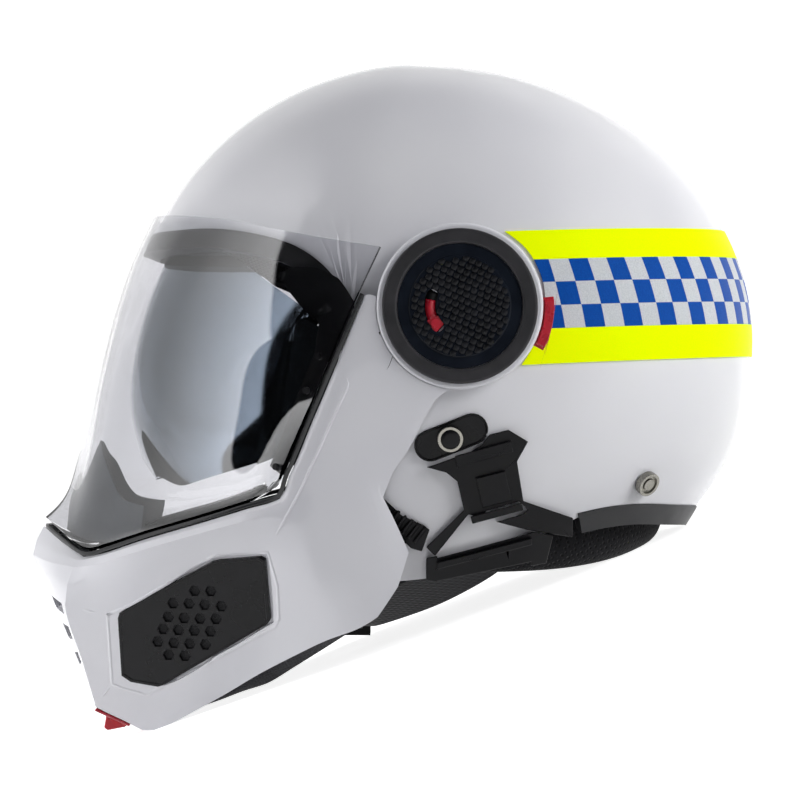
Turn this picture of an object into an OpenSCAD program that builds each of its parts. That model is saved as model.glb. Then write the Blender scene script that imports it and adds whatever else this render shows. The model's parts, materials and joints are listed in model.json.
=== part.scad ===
// Flip-front police motorcycle helmet, in millimetres.
// The worn frame has its origin on the chin bar's pivot axis: +X is the wearer's left,
// +Y points to the back of the head and +Z up. The finished helmet is turned by stand()
// so that it rests on a table with its face towards -Y.

/* [Shell] */
// Half of the shell's width at the ears
shell_half_w = 122; // [112:1:130]
// Length of the shell in front of its middle
shell_front = 137; // [128:1:146]
// Length of the shell behind its middle
shell_rear = 158.6; // [148:1:170]
// Height of the crown above the shell's widest level
shell_top = 131.6; // [122:1:142]
// How fast the lower half closes in, as a half axis
shell_low = 160; // [150:1:176]
// Wall of the outer shell
shell_t = 4; // [3:0.25:5]
// Wall of the foam liner
liner_t = 29; // [22:1:34]
// Wall of the cloth comfort liner
pad_t = 9; // [6:0.5:12]
// Width of the rubber trim on the shell's edges
trim_w = 7; // [5:0.5:10]
// How far the rubber trim stands off the shell
trim_t = 1.8; // [1.4:0.1:2]

/* [Chin bar] */
// Wall of the chin bar's moulding
bar_t = 3; // [2.4:0.2:3.6]
// Depth of the pocket for each vent panel
pocket_d = 1.6; // [1:0.2:2]
// Thickness of the foam inside the chin bar
lining_t = 9; // [6:0.5:12]
// Radius of the round boss at each pivot
boss_r = 37.5; // [36.5:0.5:39]
// Thickness of the boss
boss_t = 3.2; // [2.6:0.2:4]
// Gap between the shell's side and the arms
arm_gap = 4; // [3.5:0.25:5]

/* [Pivot] */
// Radius of the pivot shaft
axle_r = 8; // [6:0.5:9]
// Radial running clearance on the shafts
run_gap = 0.05; // [0.03:0.01:0.1]
// Outer radius of the black ring
ring_r = 35; // [34:0.5:36]
// Inner radius of the black ring
ring_in = 28.2; // [27.5:0.1:30]
// How far the ring stands out from the boss
ring_h = 2.2; // [1.8:0.2:3]
// Radius of the raised disc in the middle
disc_r = 23; // [21:0.5:24]
// How far the raised disc stands out from the boss
disc_h = 2; // [1.8:0.1:2.4]
// Radius of the middle line of the curved slot
slot_r = 13.4; // [12:0.2:15]
// Width of the curved slot
slot_w = 5.4; // [4.8:0.2:6]
// Radius of the red lock pin
lock_pin_r = 2.1; // [1.6:0.1:2.3]

/* [Visors] */
// Wall of the clear visor
visor_t = 2.4; // [2:0.2:3]
// Wall of the sun visor
sun_t = 2; // [1.6:0.2:2.4]
// Radius that the sun visor swings on
sun_r = 147; // [144:0.5:148]
// Radius of the sun visor's pivot pins
sun_pin_r = 3; // [2:0.25:4]
// Width of the visor's gasket
gasket_w = 2; // [1.6:0.1:2.4]

/* [Vent panel] */
// Distance between hexagonal holes along a row
hex_pitch = 8.2; // [7.6:0.1:9]
// Width across the flats of a hexagonal hole
hex_w = 5.2; // [4:0.1:5.6]
// Thickness of the vent panel
panel_t = 1.4; // [1:0.1:1.6]

/* [Fittings] */
// Outer diameter of a press stud
stud_d = 11.6; // [10:0.2:13]
// Height of a press stud over its seat
stud_h = 3.4; // [2.6:0.2:5]
// Thickness of the headset bracket
bracket_t = 3.2; // [2.4:0.2:4]
// Height of the ribs on the headset bracket
bracket_rib = 2.4; // [1.6:0.2:3]
// Thickness of the films on the shell
film_t = 0.3; // [0.2:0.05:0.4]
// Height of the chequered band
chequer_h = 31.6; // [28:0.2:36]
// Height of each yellow stripe
stripe_h = 14; // [10:0.5:18]
// Width of the chin strap
strap_w = 24; // [20:1:26]
// Thickness of the chin strap
strap_t = 2; // [1.6:0.2:2.6]

/* [Hidden] */
$fn = 64;

// Small gap between pieces that are seated on each other
seat = 0.3;
// Gap between two curved layers, whose flat facets come closer to each other
layer_gap = 0.9;
// Middle of the shell in the worn frame
mid_y = -17.5;
mid_z = -14.4;
// Roundness of the shell seen from above, where 2 is an ellipse
plan_n = 2.2;
// How full the shell stays at the sides below and above its widest level
side_fill = 0.58;
// Sizes at which the free-form outlines were drawn; other sizes stretch them
drawn_w = 122;
drawn_front = 137;
drawn_rear = 158.6;
// Where the sun visor swings, in the worn frame
sun_y = -10;
sun_z = -45;
// Lowest place of the chin, which stands on the table with the neck roll
chin_foot = [-143, -198.2];

/* Curves and surfaces */

function mix(a, b, t) = a + (b - a) * t;

function hermite(p, q, tp, tq, t) =
    (2 * t * t * t - 3 * t * t + 1) * p + (t * t * t - 2 * t * t + t) * tp
    + (3 * t * t - 2 * t * t * t) * q + (t * t * t - t * t) * tq;

function is_corner(i, corners) = len([for (c = corners) if (c == i) 1]) > 0;

// Tangent of a curve at control point i, one-sided at its ends and corners
function tangent(p, i, side, corners) =
    i == 0 ? p[1] - p[0]
    : i == len(p) - 1 ? p[i] - p[i - 1]
    : is_corner(i, corners) ? (side > 0 ? p[i + 1] - p[i] : p[i] - p[i - 1])
    : (p[i + 1] - p[i - 1]) / 2;

// Smooth curve through control points, with per[i] steps in segment i
function curve(p, per, corners = []) = concat(
    [for (i = [0 : len(p) - 2])
        let (n = is_list(per) ? per[i] : per,
            a = tangent(p, i, 1, corners),
            b = tangent(p, i + 1, -1, corners))
        for (k = [0 : n - 1]) hermite(p[i], p[i + 1], a, b, k / n)],
    [p[len(p) - 1]]
);

// Smooth surface through a net of control points
function surface_of(net, rows, cols, row_corners = [], col_corners = []) =
    let (wide = [for (r = net) curve(r, cols, col_corners)],
        tall = [for (j = [0 : len(wide[0]) - 1])
            curve([for (r = wide) r[j]], rows, row_corners)])
    [for (i = [0 : len(tall[0]) - 1]) [for (c = tall) c[i]]];

// Whole width of the helmet from rows that start at the middle and run to the left side
function both_sides(grid) = [for (r = grid) concat(
    [for (j = [len(r) - 1 : -1 : 1]) [-r[j][0], r[j][1], r[j][2]]], r)];

function unit(v) = v / max(norm(v), 1e-9);

// Outward normals of a grid, from its neighbours
function normals(g) = [for (i = [0 : len(g) - 1]) [for (j = [0 : len(g[0]) - 1])
    let (i0 = max(i - 1, 0), i1 = min(i + 1, len(g) - 1),
        j0 = max(j - 1, 0), j1 = min(j + 1, len(g[0]) - 1))
    unit(cross(g[i][j1] - g[i][j0], g[i1][j] - g[i0][j]))]];

function offset_grid(g, d) =
    let (n = normals(g))
    [for (i = [0 : len(g) - 1]) [for (j = [0 : len(g[0]) - 1]) g[i][j] + n[i][j] * d]];

function flat(lists) = [for (l = lists) for (v = l) v];

// A walled panel. levels lists its surfaces from the outermost inwards, the last one being
// its back. kind(i, j) names the level that a cell's face lies on; the last level is a hole.
module panel(levels, kind = function(i, j) 0) {
    rows = len(levels[0]);
    cols = len(levels[0][0]);
    back = len(levels) - 1;
    at = function(level, i, j) level * rows * cols + i * cols + j;
    level_of = function(i, j)
        i < 0 || j < 0 || i > rows - 2 || j > cols - 2 ? back : kind(i, j);
    faces = flat([for (i = [0 : rows - 2]) for (j = [0 : cols - 2])
        let (k = level_of(i, j))
        k == back ? [] : concat(
            [[at(k, i, j), at(k, i + 1, j + 1), at(k, i, j + 1)],
             [at(k, i, j), at(k, i + 1, j), at(k, i + 1, j + 1)],
             [at(back, i, j), at(back, i, j + 1), at(back, i + 1, j + 1)],
             [at(back, i, j), at(back, i + 1, j + 1), at(back, i + 1, j)]],
            wall(at, k, level_of(i - 1, j), [i, j], [i, j + 1]),
            wall(at, k, level_of(i, j + 1), [i, j + 1], [i + 1, j + 1]),
            wall(at, k, level_of(i + 1, j), [i + 1, j + 1], [i + 1, j]),
            wall(at, k, level_of(i, j - 1), [i + 1, j], [i, j]))]);
    polyhedron(points = flat([for (g = levels) flat(g)]), faces = faces);
}

function wall(at, k, next, p, q) = k >= next ? [] :
    [[at(k, p[0], p[1]), at(k, q[0], q[1]), at(next, q[0], q[1])],
     [at(k, p[0], p[1]), at(next, q[0], q[1]), at(next, p[0], p[1])]];

// A solid through closed rings of points, with flat ends
module through(rings, closed = false) {
    n = len(rings[0]);
    last = len(rings) - (closed ? 1 : 2);
    sides = [for (i = [0 : last]) for (j = [0 : n - 1])
        let (i1 = (i + 1) % len(rings), j1 = (j + 1) % n)
        for (f = [[i * n + j, i1 * n + j1, i * n + j1], [i * n + j, i1 * n + j, i1 * n + j1]]) f];
    caps = closed ? [] : [
        [for (j = [0 : n - 1]) j],
        [for (j = [n - 1 : -1 : 0]) (len(rings) - 1) * n + j]];
    polyhedron(points = flat(rings), faces = concat(sides, caps));
}

// Extrudes a drawing of the left side view, with (back, up) as its axes, from x0 to x1
module from_side(x0, x1) translate([x0, 0, 0]) rotate([90, 0, 90]) linear_extrude(x1 - x0) children();

/* The shell's form */

function low_or_top(z) = z > mid_z ? shell_top : shell_low;

// How far the level z is from the widest one, as the sine of its angle
function level_sin(z, inset) =
    let (c = (z - mid_z) / (low_or_top(z) - inset)) sqrt(max(1 - c * c, 0));

function level_w(z, inset) = (shell_half_w - inset) * pow(level_sin(z, inset), side_fill);

function level_l(y, z, inset) =
    ((y < mid_y ? shell_front : shell_rear) - inset) * level_sin(z, inset);

// Half-width of the shell at a place in the side view
function shell_x(y, z, inset = 0) =
    let (f = abs(y - mid_y) / level_l(y, z, inset))
    level_w(z, inset) * pow(max(1 - pow(f, plan_n), 0), 1 / plan_n);

// A point of the shell: turn 0 is the front, 90 the left side and 180 the back;
// drop 0 is the crown and 90 the widest level
function shell_pt(turn, drop, inset = 0) =
    let (h = (drop < 90 ? shell_top : shell_low) - inset,
        s = sin(drop), c = cos(turn), w = sin(turn),
        l = ((c > 0 ? shell_front : shell_rear) - inset) * s)
    [(shell_half_w - inset) * pow(s, side_fill) * sign(w) * pow(abs(w), 2 / plan_n),
     mid_y - sign(c) * l * pow(abs(c), 2 / plan_n),
     mid_z + h * cos(drop)];

// Turn and drop of a place in the side view
function shell_at(y, z) =
    let (drop = acos(max(min((z - mid_z) / low_or_top(z), 1), -1)),
        f = min(abs(y - mid_y) / level_l(y, z, 0), 1),
        c = pow(f, plan_n / 2))
    [acos(y < mid_y ? c : -c), drop];

// Edge of the shell in the side view, from the brow round the left side to the neck.
// Each row is back, up, the share of the drop at the crease, and the tuck below the crease.
shell_edge = [
    [-149.5, 28, 0.92, 0], [-134, 29, 0.92, 0], [-110, 29, 0.92, 0], [-88, 25, 0.92, 0],
    [-73, 19, 0.92, 0], [-61, 8, 0.92, 0], [-53, -8, 0.92, 0], [-51, -32, 0.92, 0],
    [-54, -58, 0.92, 0], [-60, -84, 0.92, 0], [-61, -112, 0.93, 0], [-44, -124, 0.93, 0],
    [-16, -124, 0.93, 0.5], [14, -118, 0.93, 1], [36, -106, 0.94, 1.5], [56, -97, 0.94, 3],
    [82, -94, 0.92, 4.5], [103, -95, 0.915, 5], [118, -97.4, 0.92, 5.5]
];

drawn_front_k = shell_front / drawn_front;
drawn_rear_k = shell_rear / drawn_rear;
drawn_w_k = shell_half_w / drawn_w;

// Stretches a place that was drawn for the first shell to a shell of another size
function fit_y(y) = mid_y + (y - mid_y) * (y < mid_y ? drawn_front_k : drawn_rear_k);
function fit(p) = [p[0] * drawn_w_k, fit_y(p[1]), p[2]];
function fit_net(net) = [for (r = net) [for (p = r) fit(p)]];

shell_rim = curve([for (i = [0 : len(shell_edge) - 1])
    let (e = shell_edge[i], a = shell_at(fit_y(e[0]), e[1]),
        turn = i == 0 ? 0 : i == len(shell_edge) - 1 ? 180 : a[0])
    [turn, a[1], e[2], e[3]]], [3, 2, 2, 2, 2, 2, 1, 1, 1, 1, 1, 2, 2, 2, 1, 2, 2, 4], [10]);
rim_n = len(shell_rim) - 1;

// Half-width of the shell's real surface, which tucks in below the crease
function skin_x(y, z, inset = 0) =
    let (a = shell_at(y, z), rim = lookup(a[0], [for (r = shell_rim) [r[0], r[1]]]),
        crease = rim * lookup(a[0], [for (r = shell_rim) [r[0], r[2]]]),
        tuck = lookup(a[0], [for (r = shell_rim) [r[0], r[3]]]),
        f = max((a[1] - crease) / (rim - crease), 0))
    shell_x(y, z, inset + f * tuck);

// Rows of the shell, as shares of the drop down to the crease, then the rim
shell_steps = 11;
shell_rows = [for (k = [1 : shell_steps]) k / shell_steps];

// Column j of the shell, from just below the crown to the rim
function shell_column(j, inset) =
    let (r = shell_rim[j], even = 180 * j / rim_n, crease = r[1] * r[2])
    concat(
        [for (s = shell_rows) shell_pt(mix(even, r[0], pow(s, 3)), crease * s, inset)],
        [shell_pt(r[0], r[1], inset + r[3])]);

function flip(p) = [-p[0], p[1], p[2]];

// Columns all the way round, left side first
function all_round(columns) = concat(columns, [for (j = [len(columns) - 2 : -1 : 1])
    [for (p = columns[j]) flip(p)]]);

// A closed cap between two sets of columns that both start below the crown
module cap(outer, inner, top_out, top_in) {
    cols = len(outer);
    rows = len(outer[0]);
    base = cols * rows;
    o = function(j, i) (j % cols) * rows + i;
    n = function(j, i) base + (j % cols) * rows + i;
    skin_faces = [for (j = [0 : cols - 1]) for (i = [0 : rows - 2])
        for (f = [[o(j, i), o(j + 1, i + 1), o(j, i + 1)], [o(j, i), o(j + 1, i), o(j + 1, i + 1)],
                  [n(j, i), n(j, i + 1), n(j + 1, i + 1)], [n(j, i), n(j + 1, i + 1), n(j + 1, i)]]) f];
    rim_faces = [for (j = [0 : cols - 1])
        for (f = [[o(j, rows - 1), n(j + 1, rows - 1), n(j, rows - 1)],
                  [o(j, rows - 1), o(j + 1, rows - 1), n(j + 1, rows - 1)]]) f];
    tops = [for (j = [0 : cols - 1])
        for (f = [[2 * base, o(j + 1, 0), o(j, 0)], [2 * base + 1, n(j, 0), n(j + 1, 0)]]) f];
    polyhedron(points = concat(flat(outer), flat(inner), [top_out, top_in]),
        faces = concat(skin_faces, rim_faces, tops));
}

function crown(inset) = [0, mid_y, mid_z + shell_top - inset];

module outer_shell() color("#c9c9cf") stand() cap(
    all_round([for (j = [0 : rim_n]) shell_column(j, 0)]),
    all_round([for (j = [0 : rim_n]) shell_column(j, shell_t)]),
    crown(0), crown(shell_t));

/* The sun visor's track, which the liner leaves free */

sun_half_w = 118 * drawn_w_k;
sun_edge_w = 104 * drawn_w_k;
sun_roundness = 2.1;
track_gap = 2.5;
// Angles between which the liner leaves the track free, and where its sides widen again
track_from = -32;
track_to = 84;
track_back = 40;
track_low = -85;
track_flare = 0.7;
// The liner's edge over the eyes gives way to the lip of the sun visor
track_entry = 5;
track_entry_deg = 48;

function sun_radius(x) =
    sun_r * drawn_front_k * pow(max(1 - pow(abs(x) / sun_half_w, sun_roundness), 0), 1 / sun_roundness);

// Keeps a point of the liner out of the space that the sun visor sweeps; behind and below
// that space the liner widens again
function out_of_track(p) =
    let (y = p[1] - sun_y, z = p[2] - sun_z, r = norm([y, z]), up = atan2(z, -y),
        side_x = sun_edge_w - track_gap - 1 + track_flare * max(0, p[1] - track_back, track_low - p[2]),
        x = sign(p[0]) * min(abs(p[0]), side_x),
        free_r = sun_radius(abs(x) + 4) - sun_t - track_gap
            - track_entry * max(0, min(1, (track_entry_deg - up) / 12)))
    r > free_r && abs(p[0]) < sun_edge_w + 12 && up > track_from && up < track_to
        ? [x, sun_y + y * free_r / r, sun_z + z * free_r / r] : [x, p[1], p[2]];

liner_out = shell_t + layer_gap;
liner_in = liner_out + liner_t;
liner_trim = 5;

// The liner is hidden, so it leaves out every second column at the sides and has fewer rows
liner_columns = concat([for (j = [0 : 4]) j], [for (j = [6 : 2 : rim_n - 6]) j], [for (j = [rim_n - 4 : rim_n]) j]);
liner_rows = 9;

// Level that the liner stays above at a turn, which is over the neck roll
function liner_level(turn) = turn < roll_from - 8 ? -200 : roll_top(turn) + 0.4;

function liner_column(j, inset, tucked) =
    let (r = shell_rim[j], even = 180 * j / rim_n, rim_z = shell_pt(r[0], r[1] - liner_trim)[2],
        z = max(rim_z, liner_level(r[0])), last = acos((z - mid_z) / (low_or_top(z) - inset)))
    [for (k = [1 : liner_rows])
        let (s = k / liner_rows, crease = r[1] * r[2],
            tuck = tucked * r[3] * max(min((last * s - crease) / (r[1] - crease), 1), 0))
        shell_pt(mix(even, r[0], pow(s, 3)), last * s, inset + tuck)];

module eps_liner() color("#3a3b3e") stand() cap(
    all_round([for (j = liner_columns) [for (p = liner_column(j, liner_out, 1)) out_of_track(p)]]),
    all_round([for (j = liner_columns) liner_column(j, liner_in, 0)]),
    crown(liner_out), crown(liner_in));

// The comfort liner is a cap of cloth and soft foam with a level lower edge
pad_columns = 16;
pad_drop = [66, 68, 74, 80, 86, 87, 94, 98, 100];

function pad_column(j, inset) =
    let (a = 180 * j / pad_columns, d = pad_drop[floor(j / 2)])
    [for (k = [1 : 7]) shell_pt(a, d * k / 7, inset)];

pad_out = liner_in + 2 * layer_gap + seat;
pad_in = pad_out + pad_t;

module crown_pad() color("#26262a") stand() cap(
    all_round([for (j = [0 : pad_columns]) pad_column(j, pad_out)]),
    all_round([for (j = [0 : pad_columns]) pad_column(j, pad_in)]),
    crown(pad_out), crown(pad_in));

// A pillow on the liner's inside, between two turns and two drops
function pillow_grid(turns, drops, inset, thick) =
    [for (i = [0 : len(drops) - 1]) [for (j = [0 : len(turns) - 1])
        let (u = j / (len(turns) - 1), v = i / (len(drops) - 1),
            puff = pow(max(sin(180 * u), 0) * max(sin(180 * v), 0), 0.35))
        shell_pt(turns[j], drops[i], inset + thick * puff)]];

cheek_t = 21;

module cheek_pad() {
    turns = [for (k = [0 : 8]) 66 + 5 * k];
    drops = [for (k = [0 : 7]) 126 - 5 * k];
    outer = pillow_grid(turns, drops, pad_out + 0.1, 0.5);
    inner = pillow_grid(turns, drops, pad_out + 1.2, cheek_t);
    color("#2b2b2f") stand() panel([outer, inner]);
}

module cheek_pad_left() cheek_pad();
module cheek_pad_right() right_side() cheek_pad();

// Padded roll that closes the neck opening and stands on the table
roll_thick = 17;
roll_high = 27;
roll_sides = 10;
roll_rings = 28;

// The roll lies level at the sides and rises at the back of the neck
roll_level = -108;
roll_rise = 12;
roll_from = 72;

function roll_turn(k) = mix(roll_from, 360 - roll_from, k / roll_rings);

function roll_height(turn) = roll_level + roll_rise * pow(max(-cos(turn), 0), 4);
function roll_top(turn) = roll_height(turn) + roll_high / 2;

function roll_mid(k) =
    let (a = roll_turn(k), p = shell_pt(a, 128, 22))
    [p[0], p[1], roll_height(a)];

function roll_ring(k) =
    let (m = roll_mid(k), a = roll_turn(k),
        end = min(k, roll_rings - k), f = end == 0 ? 0.45 : end == 1 ? 0.8 : 1,
        out = unit([sin(a), -cos(a) * 0.8, 0]))
    [for (s = [0 : roll_sides - 1])
        let (b = -360 * (s + 0.5) / roll_sides)
        m + out * cos(b) * roll_thick / 2 * f + [0, 0, sin(b) * roll_high / 2 * f]];

module neck_roll() color("#2f3034") stand() through([for (k = [0 : roll_rings]) roll_ring(k)]);

/* Trims on the shell's edges */

// Place on the rim at column j, with the directions into the shell's wall and outwards
function rim_point(j) = let (r = shell_rim[j]) shell_pt(r[0], r[1], r[3]);

function rim_frame(j) =
    let (r = shell_rim[j], p = rim_point(j),
        before = j == 0 ? flip(rim_point(1)) : rim_point(j - 1),
        after = j == rim_n ? flip(rim_point(j - 1)) : rim_point(j + 1),
        round_step = shell_pt(r[0] + 1, r[1], r[3]) - shell_pt(r[0] - 1, r[1], r[3]),
        down_step = shell_pt(r[0], r[1] + 1, r[3]) - shell_pt(r[0], r[1] - 1, r[3]),
        out = unit(cross(down_step, round_step)))
    [p, unit(cross(out, after - before)), out];

// Section of the U-shaped trim on the rim: up is its height on the shell's outside,
// lip how far it reaches past the rim and out how far it stands off the wall
function trim_ring(j, up, lip, out) =
    let (f = rim_frame(j), back = shell_t + out, inner = shell_t + layer_gap)
    [for (q = [[up, 2 * seat], [up, out - 0.6], [up - 1.2, out], [-lip, out - 0.4], [-lip, -back],
               [up * 0.6, -back], [up * 0.6, -inner], [-seat, -inner], [-seat, 2 * seat]])
        f[0] + f[1] * q[0] + f[2] * q[1]];

brow_last = 12;
brow_rings = [for (j = [0 : brow_last]) trim_ring(j, trim_w, 2.2, trim_t)];

module brow_trim() color("#1e1e21") stand() through(concat(
    [for (j = [len(brow_rings) - 1 : -1 : 1]) mirror_ring(brow_rings[j])], brow_rings));

function mirror_ring(r) = [for (p = r) flip(p)];

neck_first = rim_n - 8;
neck_rings = [for (j = [neck_first : rim_n]) trim_ring(j, 2, 8.5, 1.2)];

module neck_trim() color("#303035") stand() through(concat(neck_rings,
    [for (j = [len(neck_rings) - 2 : -1 : 0]) mirror_ring(neck_rings[j])]));

/* Pieces that follow the shell's side */

// Slab over the shell between two heights, for a rectangle of the side view
module side_slab(y0, y1, z0, z1, lo, hi, steps = 8) {
    grid = function(h) [for (i = [0 : steps]) [for (j = [0 : steps])
        let (y = mix(y0, y1, j / steps), z = mix(z0, z1, i / steps))
        [skin_x(y, z) + h, y, z]]];
    panel([grid(hi), grid(lo)]);
}

// A drawing of the side view laid on the shell between two heights
module on_side(y0, y1, z0, z1, lo, hi, steps = 8) intersection() {
    side_slab(y0, y1, z0, z1, lo, hi, steps);
    from_side(60, 160) children();
}

// Corners of the bracket's outline, going round
bracket_arms = [[-15, -72.5], [-11.5, -71.5], [5, -65.5], [10, -62.5], [13.5, -57.8], [22, -55.6], [31, -61],
    [26, -70], [29, -88], [52, -96], [52, -105], [30, -101], [4, -94], [-11, -113], [-15, -109],
    [2, -92], [-1, -79], [-6, -75]];

module headset_bracket() {
    area = [-20, 56, -118, -50];
    color("#2a2b2d") stand() union() {
        on_side(area[0], area[1], area[2], area[3], seat, seat + bracket_t) difference() {
            polygon(bracket_arms);
            polygon([[8, -98], [12, -92.5], [27, -88], [31, -92], [29, -94], [9, -99.5]]);
        }
        on_side(area[0], area[1], area[2], area[3], seat + 1, seat + bracket_t + bracket_rib) {
            rotate_about([11, -66.5], 15) square([26, 5], center = true);
            rotate_about([15.5, -82.5], 14) square([13.5, 13.5], center = true);
            rotate_about([17, -93.5], 15) square([24, 3.4], center = true);
        }
    }
}

module rotate_about(at, a) translate(at) rotate(a) children();

module headset_bracket_left() headset_bracket();
module headset_bracket_right() right_side() headset_bracket();

module side_rail() color("#232427") stand() union() {
    on_side(-20, 48, -132, -98, seat, seat + 4) {
        polygon([[-10, -114], [33, -102.5], [33, -116], [-10, -124.5]]);
        polygon([[-15, -114], [-10, -113], [-10, -125], [-15, -124]]);
        polygon([[33, -102], [43, -104], [40, -117], [33, -118]]);
    }
    on_side(-20, 48, -132, -98, seat + 1, seat + 6.5) polygon([[-10, -116], [33, -105], [33, -108], [-10, -119]]);
}

module side_rail_left() side_rail();
module side_rail_right() right_side() side_rail();

receiver_ribs = 5;

module latch_receiver() color("#1f2022") stand() union() {
    on_side(-44, -12, -116, -84, seat, seat + 0.9) polygon([[-35, -86], [-26, -94.5], [-16, -99],
        [-13.5, -101], [-17, -111], [-22, -109.5], [-24, -107.5], [-33.5, -104], [-40, -103.5], [-43, -99]]);
    for (k = [0 : receiver_ribs - 1])
        on_side(-44, -12, -116, -84, seat + 0.8, seat + 3)
            rotate_about([-29.5 + 2.9 * k, -95.6 - 2 * k], -38) square([1.3, 8], center = true);
    from_side(shell_x(striker[0], striker[1]) + seat, hook_x + hook_t + 0.6) translate(striker) circle(r = striker_r);
}

module latch_receiver_left() latch_receiver();
module latch_receiver_right() right_side() latch_receiver();

/* Press studs for a neck curtain or a peak */

front_stud = [-4.4, -59.4];
rear_stud = [86, -80];

function skin_normal(p, inset) =
    let (q = skin_x(p[0], p[1], inset), d = 2)
    unit(cross([skin_x(p[0] + d, p[1], inset) - q, d, 0], [skin_x(p[0], p[1] + d, inset) - q, 0, d]));

// Turns a frame square to the shell at a place of the side view
module at_shell(p, inset = 0) {
    n = skin_normal(p, inset);
    translate([skin_x(p[0], p[1], inset), p[0], p[1]]) rotate([0, acos(n[2]), atan2(n[1], n[0])]) children();
}

module stud() {
    difference() {
        cylinder(r = stud_d / 2, h = stud_h);
        translate([0, 0, stud_h - 1.4]) cylinder(r = stud_d / 2 - 1.5, h = 2);
    }
    translate([0, 0, stud_h - 1.6]) cylinder(r = stud_d / 4, h = 1.4);
}

module stud_pair(p, lift) color("#3c3d40") stand() {
    at_shell(p) translate([0, 0, lift]) stud();
    mirror([1, 0, 0]) at_shell(p) translate([0, 0, lift]) stud();
}

pill_half = 10.2;
pill_r = 7.2;
pill_lip = 0.9;
pill_slope = 21.5;

module pill(r) translate([front_stud[0] + 0.6, front_stud[1] + 0.3]) rotate(pill_slope) hull() {
    translate([-pill_half, 0]) circle(r = r, $fn = 24);
    translate([pill_half, 0]) circle(r = r, $fn = 24);
}

module stud_seat() color("#202124") stand() union() {
    on_side(-28, 18, -74, -46, seat, seat + 1.5) difference() {
        pill(pill_r);
        pill(pill_r - pill_lip);
    }
    on_side(-28, 18, -74, -46, seat, seat + 0.5) pill(pill_r - pill_lip / 2);
}

module stud_seat_left() stud_seat();
module stud_seat_right() right_side() stud_seat();
module front_studs() stud_pair(front_stud, 1.5);
module rear_studs() stud_pair(rear_stud, -0.2);

/* Reflective films */

band_low = 0.3;
film_steps = 22;
// Level of the chequered band's middle at its front ends, and how far it has risen at the back
band_mid_z = 3;
band_rise = 6.4;
// Radius of the round cut-out that the films leave for the boss
film_cut_r = boss_r + 1.2;

// Drop of a line on the band, h millimetres above the band's middle
function film_drop(turn, h) =
    let (z = band_mid_z + band_rise * pow(max(-cos(turn), 0), 0.7))
    acos((z - mid_z) / low_or_top(z)) - h / (PI * shell_top / 180);

// Turn at which a line of the film leaves the round cut-out
function film_start(h) =
    let (z = band_mid_z + h, y = sqrt(max(film_cut_r * film_cut_r - z * z, 25)))
    shell_at(y, z)[0];

function film_row(h, inset) =
    let (a = film_start(h),
        half = [for (k = [0 : film_steps])
            let (turn = mix(a, 180, k / film_steps)) shell_pt(turn, film_drop(turn, h), inset)])
    concat(half, [for (k = [film_steps - 1 : -1 : 0]) flip(half[k])]);

module film(h0, h1, steps) {
    rows = [for (i = [0 : steps]) mix(h0, h1, i / steps)];
    panel([[for (h = rows) film_row(h, -band_low - film_t)], [for (h = rows) film_row(h, -band_low)]]);
}

module chequer_band() color("#bfc3cc") stand() film(-chequer_h / 2, chequer_h / 2, 4);

module hi_vis_stripes() color("#e8fb10") stand() {
    film(chequer_h / 2 + 0.1, chequer_h / 2 + stripe_h, 2);
    film(-chequer_h / 2 - stripe_h, -chequer_h / 2 - 0.1, 2);
}

/* Chin bar */

// Line where the visor meets the chin bar, from the middle of the chin to the pivot
seal = [
    [0, -197.9, -102.7], [24, -186.5, -110], [45, -175.4, -115.7], [58, -165, -113.6],
    [77, -145, -106.7], [95, -118, -98.5], [107, -95, -91.3], [113, -81.5, -87],
    [116, -77.3, -77.5], [118.3, -73, -68], [120.5, -67.5, -54.5], [123.5, -60, -37],
    [126.3, -52, -18], [127.3, -42.5, 5]
];

// The lower side of the chin bar is nearly a plane, which also carries the vent panel
vent_normal = [0.8002, -0.3731, -0.4695];
vent_offset = 168.95;
function vent_x(y, z) = (vent_offset - vent_normal[1] * y - vent_normal[2] * z) / vent_normal[0];
function on_vent(y, z) = [vent_x(y, z), y, z];

crest = [
    [0, -203.1, -116.5], [25, -193, -119], [47, -180, -120.5], [60, -167, -118.5],
    [79.5, -146, -111.5], [97.5, -118, -103], [109.5, -93, -96], [115.5, -77.5, -90.5],
    [118.5, -71.5, -79.5], [121, -67, -69], [123, -61.5, -55], [126, -54, -37.5],
    [127.8, -46, -18], [128.2, -37, 4]
];
waist = [
    [0, -195, -135], [22, -190.5, -136.5], [41, -184.4, -139], on_vent(-158, -141.5),
    on_vent(-138, -129.5), on_vent(-112.3, -114), on_vent(-87.1, -111.8), [115.5, -68, -112],
    [119.5, -53, -104], [121.8, -47, -88], [123, -49, -67], [125.5, -41, -49],
    [128, -33, -30], [128.4, -26, -10]
];
hem = [
    [0, -181, -168], [15, -179.5, -168], [30, -177, -166], on_vent(-158, -172),
    on_vent(-138, -176.3), on_vent(-112, -161.8), on_vent(-85, -144.5), [105, -63, -136],
    [115.5, -46, -127], [120.8, -34, -103], [122.5, -41, -78], [124.5, -31, -58],
    [127.5, -21, -37], [128.4, -14, -24]
];
foot = [
    [0, -172.9, -187.9], [12, -172.6, -187.8], [22, -171.3, -187.9], [26, -157, -194.4],
    [31, -143, -198.2], [50, -113.5, -182.6], [72, -88.3, -166.9], [98, -58.9, -151.2],
    [112, -37, -140.5], [119, -22.9, -111], [121.5, -34.6, -86], [124.2, -22.4, -63.4],
    [126.5, -10.8, -42], [127.5, -2, -36.5]
];

bar_rows = [2, 5, 2, 2];
bar_cols = [3, 3, 2, 3, 3, 3, 2, 2, 2, 2, 2, 2, 2];
bar_free = surface_of(fit_net([foot, hem, waist, crest, seal]),
    bar_rows, bar_cols, [], [2]);

// Column steps from the middle at which a control station lies
function station(k) = k == 0 ? 0 : bar_cols[k - 1] + station(k - 1);

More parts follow.
